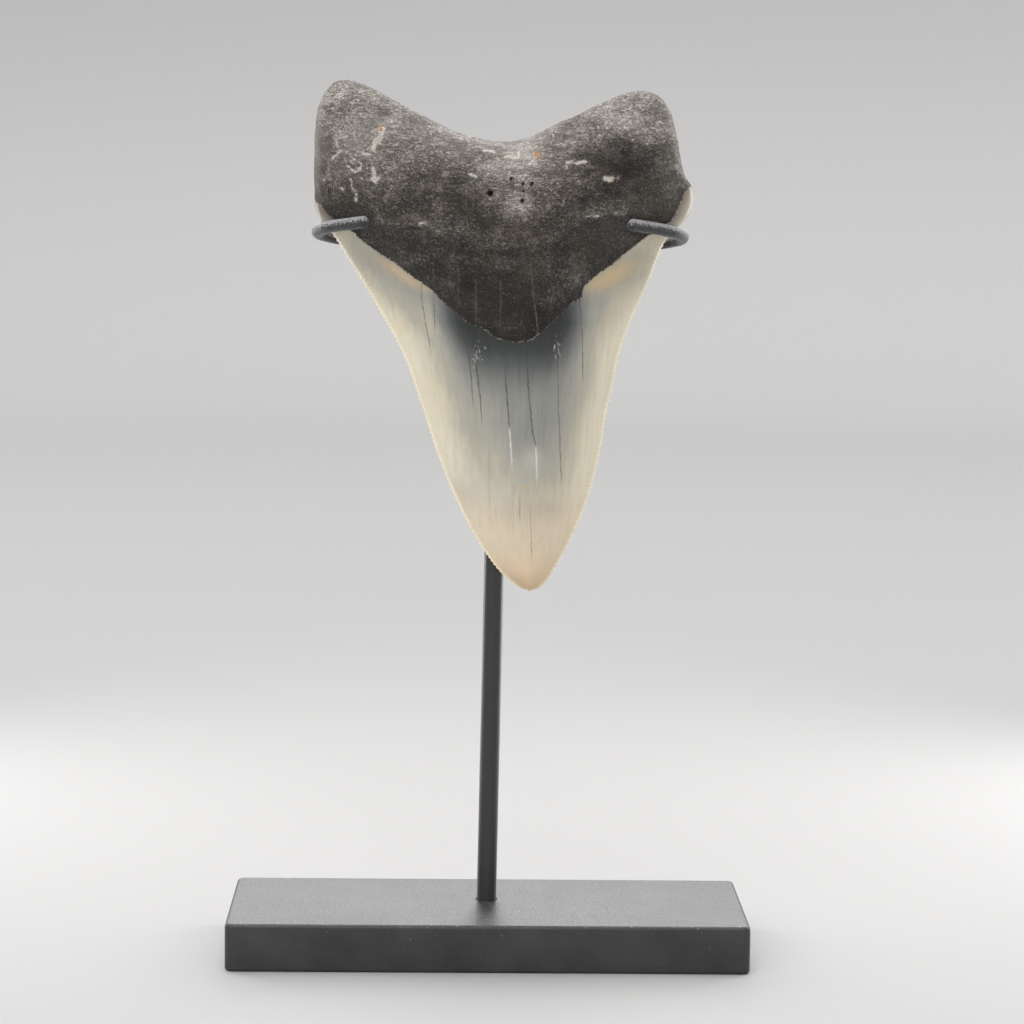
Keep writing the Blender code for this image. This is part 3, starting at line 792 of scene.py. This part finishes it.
def serrated(x, z):
    """x and z drawn in along the cutting edges, the distance in from them, and their serrations."""
    rim, wave = np.full(x.shape, np.inf), np.zeros(x.shape)
    shift_x, shift_z = np.zeros(x.shape), np.zeros(x.shape)
    for column in (0, COLUMNS):
        inwards, along, outwards = along_edge(x, z, column)
        line = np.stack([along, 0 * along + column, 0 * along], -1)
        drift = SERRATION_DRIFT * cloud(line, DRIFT_SIZE, seed=5)
        phase = np.cos(2 * np.pi * (along / SERRATION_PITCH + drift))
        level = z[:, column][:, None]
        over_tip = rise(level, TIP[1] + TIP_FADE[0], TIP[1] + TIP_FADE[1])
        strength = over_tip * rise(-level, -SHOULDER_LEVEL, SHOULDER_FADE - SHOULDER_LEVEL)
        wave = np.where(inwards < rim, phase * strength, wave)
        rim = np.minimum(rim, inwards)
        draw = SERRATION_DEPTH * (phase - 1) / 2 * strength * np.exp(-inwards / SERRATION_REACH)
        draw -= SKIN_ALLOWANCE * np.exp(-inwards / ALLOWANCE_REACH)
        shift_x += draw * outwards[:, None, 0]
        shift_z += draw * outwards[:, None, 1]
    return x + shift_x, z + shift_z, rim, wave


def face_layer(x, y, z, sign, border, rim, wave):
    """One face of the tooth: its places, the directions out of them, its relief and its border."""
    places = np.stack([x, y, z], axis=-1)
    enamel = depth_into_enamel(border, x, z)
    smooth = np.clip(hills(SMOOTH_PATCHES, x, z), 0, 1)
    is_root = rise(-enamel, -0.1, 0.5)
    away_from_rim = rise(rim, 0, 1.5)
    weathered = root_height(places, enamel, smooth)
    ripple = cloud(places / RIPPLE_SIZE, 1.0, seed=21)
    height = is_root * (BOURLETTE_STEP * away_from_rim + weathered)
    height += (1 - is_root) * RIPPLE_HEIGHT * ripple * away_from_rim
    height += RIDGE_HEIGHT * wave * np.exp(-(((rim - RIDGE_REACH) / RIDGE_REACH) ** 2))
    height *= 1 - WORN_SHARE * rise(z, *WORN_LEVELS)
    return {
        "places": places, "out": facing_out(places, sign), "height": height, "enamel": enamel,
        "weathered": weathered, "smooth": smooth,
    }


def front_values(layer, x, z, rim):
    """What the material reads in front. Adds the front's ridges, openings and crusts to its relief."""
    places = layer["places"]
    broken = 1 - BREAKS_IN_RIDGES + BREAKS_IN_RIDGES * cloud(places, BREAK_SIZE, seed=31)
    crest = WAVY_RIDGE_HEIGHT * lip(WAVY_RIDGE, places) + LOWER_RIDGE_HEIGHT * lip(LOWER_RIDGE, places)
    layer["height"] += crest * broken
    pit = np.full(x.shape, -FAR_OFF)
    for pit_x, pit_z, radius, depth in FORAMINA:
        away = np.hypot(x - pit_x, z - pit_z)
        layer["height"] -= depth * np.exp(-((away / radius) ** 4))
        pit = np.maximum(pit, radius - away)
    near_x, near_z = (
        at + CRUST_WANDER * cloud(places, CRUST_WANDER_SIZE, seed) for at, seed in ((x, 41), (z, 42))
    )
    for half, height, points in LIME:
        apart = distance_to(points, near_x, near_z)
        layer["height"] += height * rise(half - apart, *CRUST_SLOPE)
    # Bone paleness by level and patch is partly painted light from above and at the side margins, and it is
    # paler on raised relief and ridges as a painted highlight.
    bone = np.interp(z, BONE_LEVELS, BONE_TONES)
    # The rim value also places the pale line along the cutting edges, partly a painted highlight.
    return {
        "enamel": layer["enamel"], "rim": rim + RIM_FADE * rise(z, *RIM_FADE_LEVELS), "pit": pit,
        "lime": stroke_depths(LIME, near_x, near_z), "rust": stroke_depths(RUST, near_x, near_z),
        "bone": bone + hills(BONE_PATCHES, x, z) + RELIEF_PAINTED_PALER * (layer["weathered"] + crest),
        "chips": np.clip(hills(CHIPPED_BORDER, x, z), 0, 1), "smooth": layer["smooth"],
        **enamel_stains(x, z, layer["enamel"], rim), **enamel_cracks(x, z), **growth_lines(x, z),
    }


def values_behind(values, layer, x, z, rim):
    """What the material reads on the back: its own bone and stains, and no crusts, pits or lines."""
    absent = dict.fromkeys(["pit", "lime", "rust"], -FAR_OFF)
    absent.update(dict.fromkeys(["crack", "short", "stria"], FAR_OFF))
    behind = {name: np.full(x.shape, absent.get(name, 0.0)) for name in values}
    behind.update(enamel=layer["enamel"], rim=values["rim"])
    # The back's bone is painted paler on its raised relief too, a painted highlight.
    behind["bone"] = BACK_BONE * np.interp(z, BONE_LEVELS, BONE_TONES) + RELIEF_PAINTED_PALER * layer["weathered"]
    behind.update(enamel_stains(x, z, layer["enamel"], rim))
    return behind


def raise_relief(layers, x, z, rim):
    """Moves each face out by its relief, less the allowance for the skin."""
    # The outline belongs to both faces, so it moves in the outline's own plane. The allowance for
    # the skin was taken there already, in that plane, except along the top.
    sunk = SKIN_ALLOWANCE * (1 - np.exp(-rim / ALLOWANCE_REACH))
    sunk[0] = SKIN_ALLOWANCE
    for layer in layers.values():
        out = layer["out"]
        for column in (0, COLUMNS):
            outwards = along_edge(x, z, column)[2]
            out[:, column] = np.stack([outwards[:, 0], 0 * outwards[:, 0], outwards[:, 1]], axis=1)
        top = np.stack([x[0], z[0]], axis=1)
        slope = np.gradient(top, axis=0)
        slope /= np.linalg.norm(slope, axis=1)[:, None]
        out[0] = np.stack([-slope[:, 1], 0 * slope[:, 0], slope[:, 0]], axis=1)
        moved = (layer["height"] - sunk)[..., None] * out
        moved[-1] = 0
        layer["places"] = layer["places"] + moved


def tooth_surface():
    """The tooth as vertices, faces, and the values that its material reads at each vertex."""
    across, down, steps = lattice_shares()
    x, z, front, back = tooth_faces_at(across, down)
    x, z, rim, wave = serrated(x, z)
    layers = {
        "front": face_layer(x, front, z, -1, FRONT_BORDER, rim, wave),
        "back": face_layer(x, back, z, 1, BACK_BORDER, rim, wave),
    }
    values = front_values(layers["front"], x, z, rim)
    back_values = values_behind(values, layers["back"], x, z, rim)
    raise_relief(layers, x, z, rim)
    return knit(layers, values, back_values, steps)


def knit(layers, values, back_values, steps):
    """Joins the kept places of the two lattices in one closed skin that shares the outline."""
    rows, columns = layers["front"]["enamel"].shape
    row, column = np.mgrid[0:rows, 0:columns]
    kept = column % steps[:, :1] == 0
    kept[-1] = False
    tables = {"front": np.full((rows, columns), -1)}
    tables["front"][kept] = np.arange(kept.sum())
    tip_index = int(kept.sum())
    tables["front"][-1, ::steps[-1, 0]] = tip_index
    outline = (row == 0) | (column == 0) | (column == columns - 1)
    inner = (row % BACK_ROW_STEP == 0) & (column % steps[:, 1:] == 0) & ~outline & (row < rows - 1)
    tables["back"] = np.where(outline, tables["front"], -1)
    tables["back"][inner] = tip_index + 1 + np.arange(inner.sum())
    tables["back"][-1, ::steps[-1, 1]] = tip_index

    tip = (np.array([rows - 1]), np.array([0]))
    parts = [
        (layers["front"], values, kept), (layers["front"], values, tip),
        (layers["back"], back_values, inner),
    ]
    vertices = np.concatenate([layer["places"][where] for layer, _, where in parts])
    read = {
        name: np.concatenate([own[name][where] for _, own, where in parts]) for name in values
    }

    faces = []
    for side, row_step, which in (("front", 1, 0), ("back", BACK_ROW_STEP, 1)):
        table = tables[side].tolist()
        for upper in range(0, rows - 1, row_step):
            lower = upper + row_step
            step = int(steps[lower, which])
            for left in range(0, columns - 1, step):
                right = left + step
                path = [(upper, k) for k in range(right, left, -1)]
                path += [(k, left) for k in range(upper, lower)]
                path += [(lower, k) for k in range(left, right)]
                path += [(k, right) for k in range(lower, upper, -1)]
                ring = dict.fromkeys(table[i][j] for i, j in path if table[i][j] >= 0)
                faces.append(list(ring))
    return vertices, faces, read


def enamel_stains(x, z, enamel, rim):
    """Stains in the enamel: the dark one under the root, the amber along it and the tan tip."""
    aside = x - STAIN_MIDDLE - STAIN_LEAN * (STAIN_TOP - z)
    left, right = np.interp(z, *BLACK_LEFT), np.interp(z, *BLACK_RIGHT)
    black = np.interp(z, *BLACK_DEPTH) * rise(aside - left, 0, STAIN_SIDE)
    black *= rise(right - aside, 0, STAIN_SIDE)
    grey = np.interp(z, *GREY_DEPTH) * np.exp(-np.abs((aside - 1.5) / np.interp(z, *GREY_REACH)) ** 2.6)
    body = np.interp(z, *BODY_DEPTH) * rise(rim + 0.35 * np.clip(z - 155, 0, 17), 1.5, 12)
    body *= rise(-z, -182, -174)
    near_root = np.where(x > 0, 0.05, 0.09) * rise(-enamel, -7, -1) * rise(z, 150, 160)
    at_shoulder = rise(z, *SHOULDER_SHADE_LEVELS) * rise(np.abs(x), *SHOULDER_SHADE_ASIDE)
    shoulder = (np.where(x > 0, 0.18, 0.40) + 0.3 * rise(-enamel, -2.2, -0.2)) * at_shoulder
    clear = (1 - black) * (1 - grey) * (1 - body) * (1 - near_root) * (1 - shoulder)

    # The amber lies just inside the border, wider on the right, and under the two lobes only.
    amber_reach = np.where(x > 0, 2.6, 1.5)
    amber = np.exp(-(((enamel - amber_reach + 0.2) / amber_reach) ** 2))
    amber *= rise(z, 166, 170) * rise(-z, -178, -172) * np.where(x > 0, 1.25, 1.0)
    return {
        "shade": 1 - clear, "amber": amber + SHOULDER_AMBER * at_shoulder,
        "tan": 0.33 * rise(-z, -122, -108) + 0.67 * rise(-z, -106, -93),
        "flecks": np.clip(hills(FLECKS, x, z), 0, 1),
        "lilac": hills(LILAC_CLOUDS, x, z), "pale": hills(PALE_CLOUDS, x, z),
    }


def nearest_line(lines, x, z):
    """Offset from the nearest of these lines, its sign alternating, and (which it is, share down)."""
    offset, which, share = np.full(x.shape, FAR_OFF), np.zeros(x.shape, dtype=int), np.zeros(x.shape)
    for number, points in enumerate(lines):
        line_x, line_z = np.array(points)[::-1].T
        aside = (x - np.interp(z, line_z, line_x)) * (-1) ** number
        nearer = np.abs(aside) < np.abs(offset)
        offset = np.where(nearer, aside, offset)
        which = np.where(nearer, number, which)
        share = np.where(nearer, (line_z[-1] - z) / (line_z[-1] - line_z[0]), share)
    return offset, which, share


def hairlines(lines, x, z):
    """Offset from the nearest hairline, its sign alternating, how dark it is and how white."""
    offset, which, share = nearest_line([points for points, *_ in lines], x, z)
    plain = np.array([plain for _, plain, _ in lines])[which]
    turns_white = np.array([level for *_, level in lines])[which]
    length = np.array([points[0][1] - points[-1][1] for points, *_ in lines])[which]
    beyond = np.maximum(-share, share - 1) * length
    line = plain * rise(-beyond, -CRACK_FADE, CRACK_FADE)
    is_white = rise(turns_white - z, -1, 1)
    return offset, line * (1 - is_white), line * is_white


def enamel_cracks(x, z):
    """The long hairlines of the enamel and the short ones between them."""
    crack, crack_dark, crack_white = hairlines(CRACKS, x, z)
    short, short_dark, _ = hairlines(SHORT_CRACKS, x, z)
    return {
        "crack": crack, "crack_dark": crack_dark, "crack_white": crack_white,
        "short": short, "short_dark": short_dark,
    }


def growth_lines(x, z):
    """Offset from the bourlette's nearest growth line, and how plain that line is here."""
    offset, which, share = nearest_line([points for points, *_ in STRIAE], x, z)
    first, last = np.array([plain for _, *plain in STRIAE]).T[:, which]
    plain = first + (last - first) * np.clip(share, 0, 1)
    return {"stria": offset, "stria_plain": plain * rise(share, -0.35, 0.1) * rise(-share, -1.2, -1)}


# The bone's patterns, by how much each adds to its unevenness, and what brings their sum to about 0.
# They are the relief's own patterns, so the bone is painted paler on their crests and darker in its
# pores and hollows: painted light and shade over its mottled tone. The darkest pores level out. The
# unevenness is least in smooth bone, and grows with paleness up to a limit.
BONE_PATTERNS = (("patch", 1.5), ("wisp", 2.1), ("pores", 3.0), ("curl", 0.6))
BONE_BALANCE = -3.62
DARKEST_PORE = -0.30
PORE_ROUNDING = 0.45
SMOOTH_CALM = -0.55
PALE_LIMIT = 0.30
LEAST_UNEVENNESS = 0.17
ROOT_ROUGHNESS = 0.63
ENAMEL_ROUGHNESS = (0.30, 0.42)
STREAKS_IN_STAIN = 0.12


def fossil_material():
    """The root and the enamel in one skin, which changes from one to the other at a sharp line."""
    material, tree, shader, place = new_material("fossil_root_bone_and_enamel")
    read, noise, share = {}, {}, {}
    for name in tooth_values:
        read[name] = add_node(tree, "ShaderNodeAttribute", {}, attribute_name=name).outputs["Fac"]

    # Patterns, with the size of their grain across, deep and up in millimetres.
    for name, size, detail, swirl in [
        ("grain", (0.52, 0.45, 0.36), 3.0, 0.6), ("wisp", (1.5, 1.3, 0.8), 4.0, 1.5),
        ("flake", (2.6, 2.0, 1.5), 3.0, 1.0), ("patch", (6.0, 6.0, 4.5), 3.0, 0.0),
        ("fibre", (0.40, 0.40, 3.0), 3.0, 0.4), ("fine", (0.35, 0.35, 0.35), 2.0, 0.0),
        ("edge", (0.50, 0.50, 0.60), 3.0, 0.0), ("streak", (1.1, 1.1, 26.0), 3.0, 0.0),
        ("mottle", (9.0, 9.0, 12.0), 3.0, 0.0), ("jag", (0.5, 0.5, 1.3), 2.0, 0.0),
    ]:
        along = [1 / s for s in size]
        spread = add_node(tree, "ShaderNodeVectorMath", {0: place, 1: along}, operation="MULTIPLY")
        inputs = {"Vector": spread.outputs[0], "Scale": 1.0, "Detail": detail, "Distortion": swirl}
        noise[name] = add_node(tree, "ShaderNodeTexNoise", inputs).outputs["Fac"]

    # Each share is where a value, lifted by a pattern, passes from low to high.
    for name, value, gain, lift, low, high in [
        ("enamel", read["enamel"], 0.6, noise["edge"], 0.46, 0.54),
        ("low_root", read["enamel"], 1.0, noise["patch"], -13.0, -3.0),
        # Pale specks, more of them in paler bone: partly pale grains, partly painted glints.
        ("speck_and_glint", read["bone"], 0.12, noise["fine"], 0.63, 0.74),
        ("burnt", read["enamel"], 1.0, noise["edge"], -1.4, 0.4),
        ("sepia", read["smooth"], 0.08, noise["mottle"], 0.50, 0.66),
        ("blush", read["smooth"], -0.2, noise["patch"], 0.50, 0.64),
        ("film", read["lime"], 0.40, noise["wisp"], 0.20, 0.72),
        ("lime", read["lime"], 0.65, noise["edge"], 0.48, 0.60),
        ("lime_core", read["lime"], 0.75, noise["wisp"], 0.52, 0.66),
        ("rust", read["rust"], 0.50, noise["edge"], 0.52, 0.60),
        ("pit", read["pit"], 2.0, noise["fine"], 0.40, 0.75),
        ("rim", read["rim"], -1.0, noise["streak"], -0.5, 0.3),
        ("flecks", read["flecks"], 0.30, noise["jag"], 0.79, 0.91),
        ("warm", read["shade"], -0.9, noise["mottle"], 0.40, 0.62),
        ("chips", read["chips"], 0.12, noise["edge"], 0.55, 0.62),
    ]:
        lifted = add_node(tree, "ShaderNodeMath", {0: value, 1: gain, 2: lift}, operation="MULTIPLY_ADD")
        ends = {"Value": lifted.outputs[0], "From Min": low, "From Max": high}
        ranged = add_node(tree, "ShaderNodeMapRange", ends, interpolation_type="SMOOTHSTEP")
        share[name] = ranged.outputs["Result"]

    # A line is where the offset from it, shaken by a pattern, is close to 0.
    for name, offset, shake, plain, wide, narrow in [
        ("dark_line", "crack", 0.6, read["crack_dark"], 0.20, 0.06),
        ("white_line", "crack", 0.6, read["crack_white"], 0.26, 0.10),
        ("short_line", "short", 0.6, read["short_dark"], 0.20, 0.06),
        ("stria", "stria", 1.1, read["stria_plain"], 0.30, 0.06),
        ("chip", "enamel", 0.5, share["chips"], 0.30, 0.12),
    ]:
        shaken = {0: noise["jag"], 1: shake, 2: read[offset]}
        moved = add_node(tree, "ShaderNodeMath", shaken, operation="MULTIPLY_ADD")
        halved = {0: moved.outputs[0], 1: shake / 2}
        centred = add_node(tree, "ShaderNodeMath", halved, operation="SUBTRACT")
        apart = add_node(tree, "ShaderNodeMath", {0: centred.outputs[0]}, operation="ABSOLUTE")
        ends = {"Value": apart.outputs[0], "From Min": wide, "From Max": narrow}
        line = add_node(tree, "ShaderNodeMapRange", ends, interpolation_type="SMOOTHSTEP")
        both = {0: line.outputs["Result"], 1: plain}
        share[name] = add_node(tree, "ShaderNodeMath", both, operation="MULTIPLY").outputs[0]

    # Enamel: cream where it is thick and clean, blue-black where the stain shows through.
    streaked = {0: noise["streak"], 1: STREAKS_IN_STAIN, 2: read["shade"]}
    stain = add_node(tree, "ShaderNodeMath", streaked, operation="MULTIPLY_ADD")
    halved = {0: stain.outputs[0], 1: STREAKS_IN_STAIN / 2}
    centred = add_node(tree, "ShaderNodeMath", halved, operation="SUBTRACT")
    enamel = add_node(
        tree, "ShaderNodeValToRGB", {"Fac": centred.outputs[0]},
        stops=[
            (0.0, "#e2d9c3"), (0.14, "#b4b0a0"), (0.22, "#a4a297"), (0.31, "#8d8d87"),
            (0.41, "#787975"), (0.56, "#575a59"), (0.70, "#3a3d3c"), (0.86, "#222524"),
        ],
    ).outputs["Color"]

    # Bone: as pale as its place says, broken up by the pattern of its pores or, below, its fibres. The
    # pattern follows the relief, so it paints light on the crests and shade in the pores and hollows.
    pores = {0: share["low_root"], 2: noise["grain"], 3: noise["fibre"]}
    noise["pores"] = add_node(tree, "ShaderNodeMix", pores).outputs[0]
    curls = [(0.40, "#000000"), (0.5, "#ffffff"), (0.60, "#000000")]
    curl = add_node(tree, "ShaderNodeValToRGB", {"Fac": noise["flake"]}, stops=curls)
    noise["curl"] = curl.outputs["Color"]
    lift = BONE_BALANCE
    for name, gain in BONE_PATTERNS:
        so_far = {0: noise[name], 1: gain, 2: lift}
        lift = add_node(tree, "ShaderNodeMath", so_far, operation="MULTIPLY_ADD").outputs[0]
    levelled = {0: lift, 1: DARKEST_PORE, 2: PORE_ROUNDING}
    lift = add_node(tree, "ShaderNodeMath", levelled, operation="SMOOTH_MAX").outputs[0]
    calmed = {0: read["smooth"], 1: SMOOTH_CALM, 2: 1.0}
    rough = add_node(tree, "ShaderNodeMath", calmed, operation="MULTIPLY_ADD").outputs[0]
    held = {0: read["bone"], 1: PALE_LIMIT}
    held = add_node(tree, "ShaderNodeMath", held, operation="MINIMUM").outputs[0]
    reach = add_node(tree, "ShaderNodeMath", {0: held, 1: LEAST_UNEVENNESS}, operation="ADD").outputs[0]
    broken = add_node(tree, "ShaderNodeMath", {0: rough, 1: reach}, operation="MULTIPLY").outputs[0]
    paleness = {0: lift, 1: broken, 2: read["bone"]}
    paleness = add_node(tree, "ShaderNodeMath", paleness, operation="MULTIPLY_ADD").outputs[0]
    bone = add_node(
        tree, "ShaderNodeValToRGB", {"Fac": paleness},
        stops=[
            (0.0, "#1b1916"), (0.12, "#2d2a26"), (0.28, "#474139"), (0.5, "#6f6861"),
            (0.75, "#a69e97"), (1.0, "#e4ddd4"),
        ],
    ).outputs["Color"]

    # Each skin's marks, laid one over the other as (where, how much it covers there, colour).
    skins = {
        "enamel": (enamel, [
            (share["warm"], 0.3, "#e0d2b4"), (read["lilac"], 0.6, "#aaa19c"),
            (read["pale"], 0.5, "#cfccc0"), (read["amber"], 0.55, "#d6b988"),
            # The pale line along the cutting edges is partly the thin enamel's own colour, partly a painted
            # highlight where light catches them.
            (read["tan"], 0.75, "#dcba90"), (share["rim"], 0.8, "#f7ecce"),
            (share["flecks"], 0.5, "#c9cac5"), (share["short_line"], 0.6, "#55524c"),
            (share["dark_line"], 0.75, "#3d3d3a"), (share["white_line"], 0.75, "#dddbd3"),
            (share["rust"], 0.6, "#cdb27c"), (share["chip"], 0.4, "#b9b7ae"),
        ]),
        "root": (bone, [
            (read["smooth"], 0.3, "#4d463c"), (share["sepia"], 0.35, "#4a4231"),
            # The pale specks are partly pale grains, partly painted glints.
            (share["blush"], 0.12, "#93837f"), (share["speck_and_glint"], 0.5, "#bdb6ad"),
            (share["stria"], 0.55, "#8d8775"), (share["film"], 0.6, "#b0a8a1"),
            (share["lime"], 0.75, "#bdb4aa"), (share["lime_core"], 0.95, "#f2eddf"),
            (share["rust"], 0.85, "#d99d68"), (share["burnt"], 0.55, "#2b2019"),
            # The openings are painted near black: painted shade inside them.
            (share["chip"], 0.4, "#b9b7ae"), (share["pit"], 0.95, "#050404"),
        ]),
    }
    colours = {}
    for name, (colour, coats) in skins.items():
        for cover, most, tone in coats:
            part = add_node(tree, "ShaderNodeMath", {0: cover, 1: most}, operation="MULTIPLY")
            layered = {0: part.outputs[0], 6: colour, 7: linear(tone)}
            colour = add_node(tree, "ShaderNodeMix", layered, data_type="RGBA").outputs[2]
        colours[name] = colour

    # Relief too fine for the mesh, in millimetres.
    reliefs = {}
    for name, terms in {
        "enamel": [(noise["streak"], 0.03), (share["dark_line"], -0.06), (noise["fine"], 0.004)],
        "root": [
            (noise["pores"], 0.8), (noise["wisp"], 2.3), (noise["curl"], 0.12), (noise["fine"], 0.15),
            (share["pit"], -0.3), (share["lime"], 0.12), (share["stria"], 0.05), (noise["patch"], 1.6),
        ],
    }.items():
        height = 0.0
        for value, gain in terms:
            sum_so_far = {0: value, 1: gain, 2: height}
            height = add_node(tree, "ShaderNodeMath", sum_so_far, operation="MULTIPLY_ADD").outputs[0]
        reliefs[name] = height
    gloss = {"Value": noise["mottle"], "To Min": ENAMEL_ROUGHNESS[0], "To Max": ENAMEL_ROUGHNESS[1]}
    enamel_gloss = add_node(tree, "ShaderNodeMapRange", gloss).outputs["Result"]

    both = {0: share["enamel"], 6: colours["root"], 7: colours["enamel"]}
    colour = add_node(tree, "ShaderNodeMix", both, data_type="RGBA")
    height = add_node(tree, "ShaderNodeMix", {0: share["enamel"], 2: reliefs["root"], 3: reliefs["enamel"]})
    dull_or_glossy = {0: share["enamel"], 2: ROOT_ROUGHNESS, 3: enamel_gloss}
    roughness = add_node(tree, "ShaderNodeMix", dull_or_glossy)
    bump = add_node(tree, "ShaderNodeBump", {"Height": height.outputs[0], "Distance": MM})
    tree.links.new(colour.outputs[2], shader.inputs["Base Color"])
    tree.links.new(roughness.outputs[0], shader.inputs["Roughness"])
    tree.links.new(bump.outputs["Normal"], shader.inputs["Normal"])
    return material


tooth_vertices, tooth_faces, tooth_values = tooth_surface()
tooth = add_piece(
    "tooth_fossil", tooth_vertices, tooth_faces, fossil_material(), "tooth", "fossil_tooth", EDGE_ANGLE,
)
for name, value in tooth_values.items():
    attribute = tooth.data.attributes.new(name, "FLOAT", "POINT")
    attribute.data.foreach_set("value", value.astype(np.float32))

# --------------------------------------------------------------------------- floor, light, camera
# The stand is on a wide round sheet of matt paper that curves up at its rim, far away. The light
# is a pale sky with three softboxes in it, behind, overhead and in front, and two upright strip
# lights behind the stand, at either side, which draw the bright lines down its rod.
SHEET_RADIUS = 1500
SHEET_BEND = 500
SHEET_SIDES = 96
SHEET_STEPS = 16
SHEET_FLAT_SHARE = 0.5
PALE_SHEET = "#afaead"
PAPER_ROUGHNESS = 0.9
CAMERA_PLACE = np.array([-11.2, -758.4, 200.1])
CAMERA_YAW, CAMERA_PITCH, CAMERA_ROLL = np.radians([1.24, 6.63, 0.67])
CAMERA_LENS = 107.0
CAMERA_SENSOR = 36.0
CAMERA_SIGHT = 20000
SKY_COLOUR = "#ebebec"
SKY_STRENGTH = 0.59
# Each softbox: where it is, as x, y and z of its direction, its radius in degrees and its strength.
# Its light starts past its rim and is full within it, at these shares of its radius.
SOFTBOXES = [((0.0, 0.92, 0.39), 15, 5.0), ((0.0, 0.10, 1.0), 13, 9.0), ((-0.25, -0.80, 0.50), 26, 2.9)]
SOFTBOX_FADE = (1.5, 0.7)
STRIP_LIGHT_PLACES = [(-300, 210, 220), (300, 210, 220)]
STRIP_LIGHT_SIZE = (120, 440)
STRIP_LIGHT_WATTS = 0.85

bend = np.linspace(0, np.pi / 2, SHEET_STEPS + 1)
profile = [(0.0, 0.0), (SHEET_FLAT_SHARE * SHEET_RADIUS, 0.0)]
profile += [(SHEET_RADIUS + SHEET_BEND * np.sin(t), SHEET_BEND * (1 - np.cos(t))) for t in bend]
sheet_shell = bmesh.new()
sheet_line = [sheet_shell.verts.new((reach * MM, 0, level * MM)) for reach, level in profile]
sheet_edges = [sheet_shell.edges.new(pair) for pair in itertools.pairwise(sheet_line)]
bmesh.ops.spin(
    sheet_shell, geom=sheet_line + sheet_edges, axis=(0, 0, 1), steps=SHEET_SIDES,
    angle=2 * np.pi, use_merge=True, use_normal_flip=False,
)
bmesh.ops.remove_doubles(sheet_shell, verts=sheet_shell.verts[:], dist=0.01 * MM)
bmesh.ops.recalc_face_normals(sheet_shell, faces=sheet_shell.faces[:])
sheet_vertices, sheet_faces = vertices_and_faces(sheet_shell)
sheet_mesh = bpy.data.meshes.new("paper_sheet")
sheet_mesh.from_pydata(sheet_vertices, [], sheet_faces)
sheet_mesh.shade_smooth()

# Matt background paper: it has no highlight, so only the stand's soft shadow shows on it.
paper, _, paper_shader, _ = new_material("matt_background_paper")
paper_shader.inputs["Base Color"].default_value = linear(PALE_SHEET)
paper_shader.inputs["Roughness"].default_value = PAPER_ROUGHNESS
sheet_mesh.materials.append(paper)
sheet = bpy.data.objects.new("paper_sheet", sheet_mesh)
bpy.context.collection.objects.link(sheet)

world = bpy.data.worlds.new("soft_studio")
world.use_nodes = True
sky = world.node_tree
direction = add_node(sky, "ShaderNodeTexCoord", {}).outputs["Generated"]
brightness = SKY_STRENGTH
for towards, radius, strength in SOFTBOXES:
    middle = Vector(towards).normalized()
    facing = add_node(sky, "ShaderNodeVectorMath", {0: direction, 1: middle}, operation="DOT_PRODUCT")
    begins, whole = (np.cos(np.radians(fade * radius)) for fade in SOFTBOX_FADE)
    ends = {"Value": facing.outputs["Value"], "From Min": begins, "From Max": whole, "To Max": strength}
    glow = add_node(sky, "ShaderNodeMapRange", ends, interpolation_type="SMOOTHSTEP")
    total = {0: glow.outputs["Result"], 1: brightness}
    brightness = add_node(sky, "ShaderNodeMath", total, operation="ADD").outputs[0]
for number, place in enumerate(STRIP_LIGHT_PLACES):
    lamp = bpy.data.lights.new(f"strip_{number}", "AREA")
    lamp.shape = "RECTANGLE"
    lamp.size, lamp.size_y = (length * MM for length in STRIP_LIGHT_SIZE)
    lamp.energy = STRIP_LIGHT_WATTS
    strip_light = bpy.data.objects.new(f"strip_{number}", lamp)
    strip_light.location = Vector(place) * MM
    inwards = Vector((-place[0], -place[1], 0))
    strip_light.rotation_euler = inwards.to_track_quat("-Z", "Y").to_euler()
    strip_light.visible_camera = False
    bpy.context.collection.objects.link(strip_light)

sky.nodes["Background"].inputs["Color"].default_value = linear(SKY_COLOUR)
sky.links.new(brightness, sky.nodes["Background"].inputs["Strength"])
bpy.context.scene.world = world
bpy.context.scene.view_settings.view_transform = "Standard"

ahead = np.array([
    np.sin(CAMERA_YAW) * np.cos(CAMERA_PITCH), np.cos(CAMERA_YAW) * np.cos(CAMERA_PITCH),
    -np.sin(CAMERA_PITCH),
])
level_right = np.array([np.cos(CAMERA_YAW), -np.sin(CAMERA_YAW), 0.0])
level_up = np.cross(level_right, ahead)
right = np.cos(CAMERA_ROLL) * level_right + np.sin(CAMERA_ROLL) * level_up
up = np.cos(CAMERA_ROLL) * level_up - np.sin(CAMERA_ROLL) * level_right
camera_data = bpy.data.cameras.new("camera")
camera_data.lens = CAMERA_LENS
camera_data.sensor_width = CAMERA_SENSOR
camera_data.clip_end = CAMERA_SIGHT * MM
camera = bpy.data.objects.new("camera", camera_data)
turned = Matrix(np.stack([right, up, -ahead], axis=1).tolist()).to_4x4()
camera.matrix_world = Matrix.Translation(Vector(CAMERA_PLACE) * MM) @ turned
bpy.context.collection.objects.link(camera)
bpy.context.scene.camera = camera
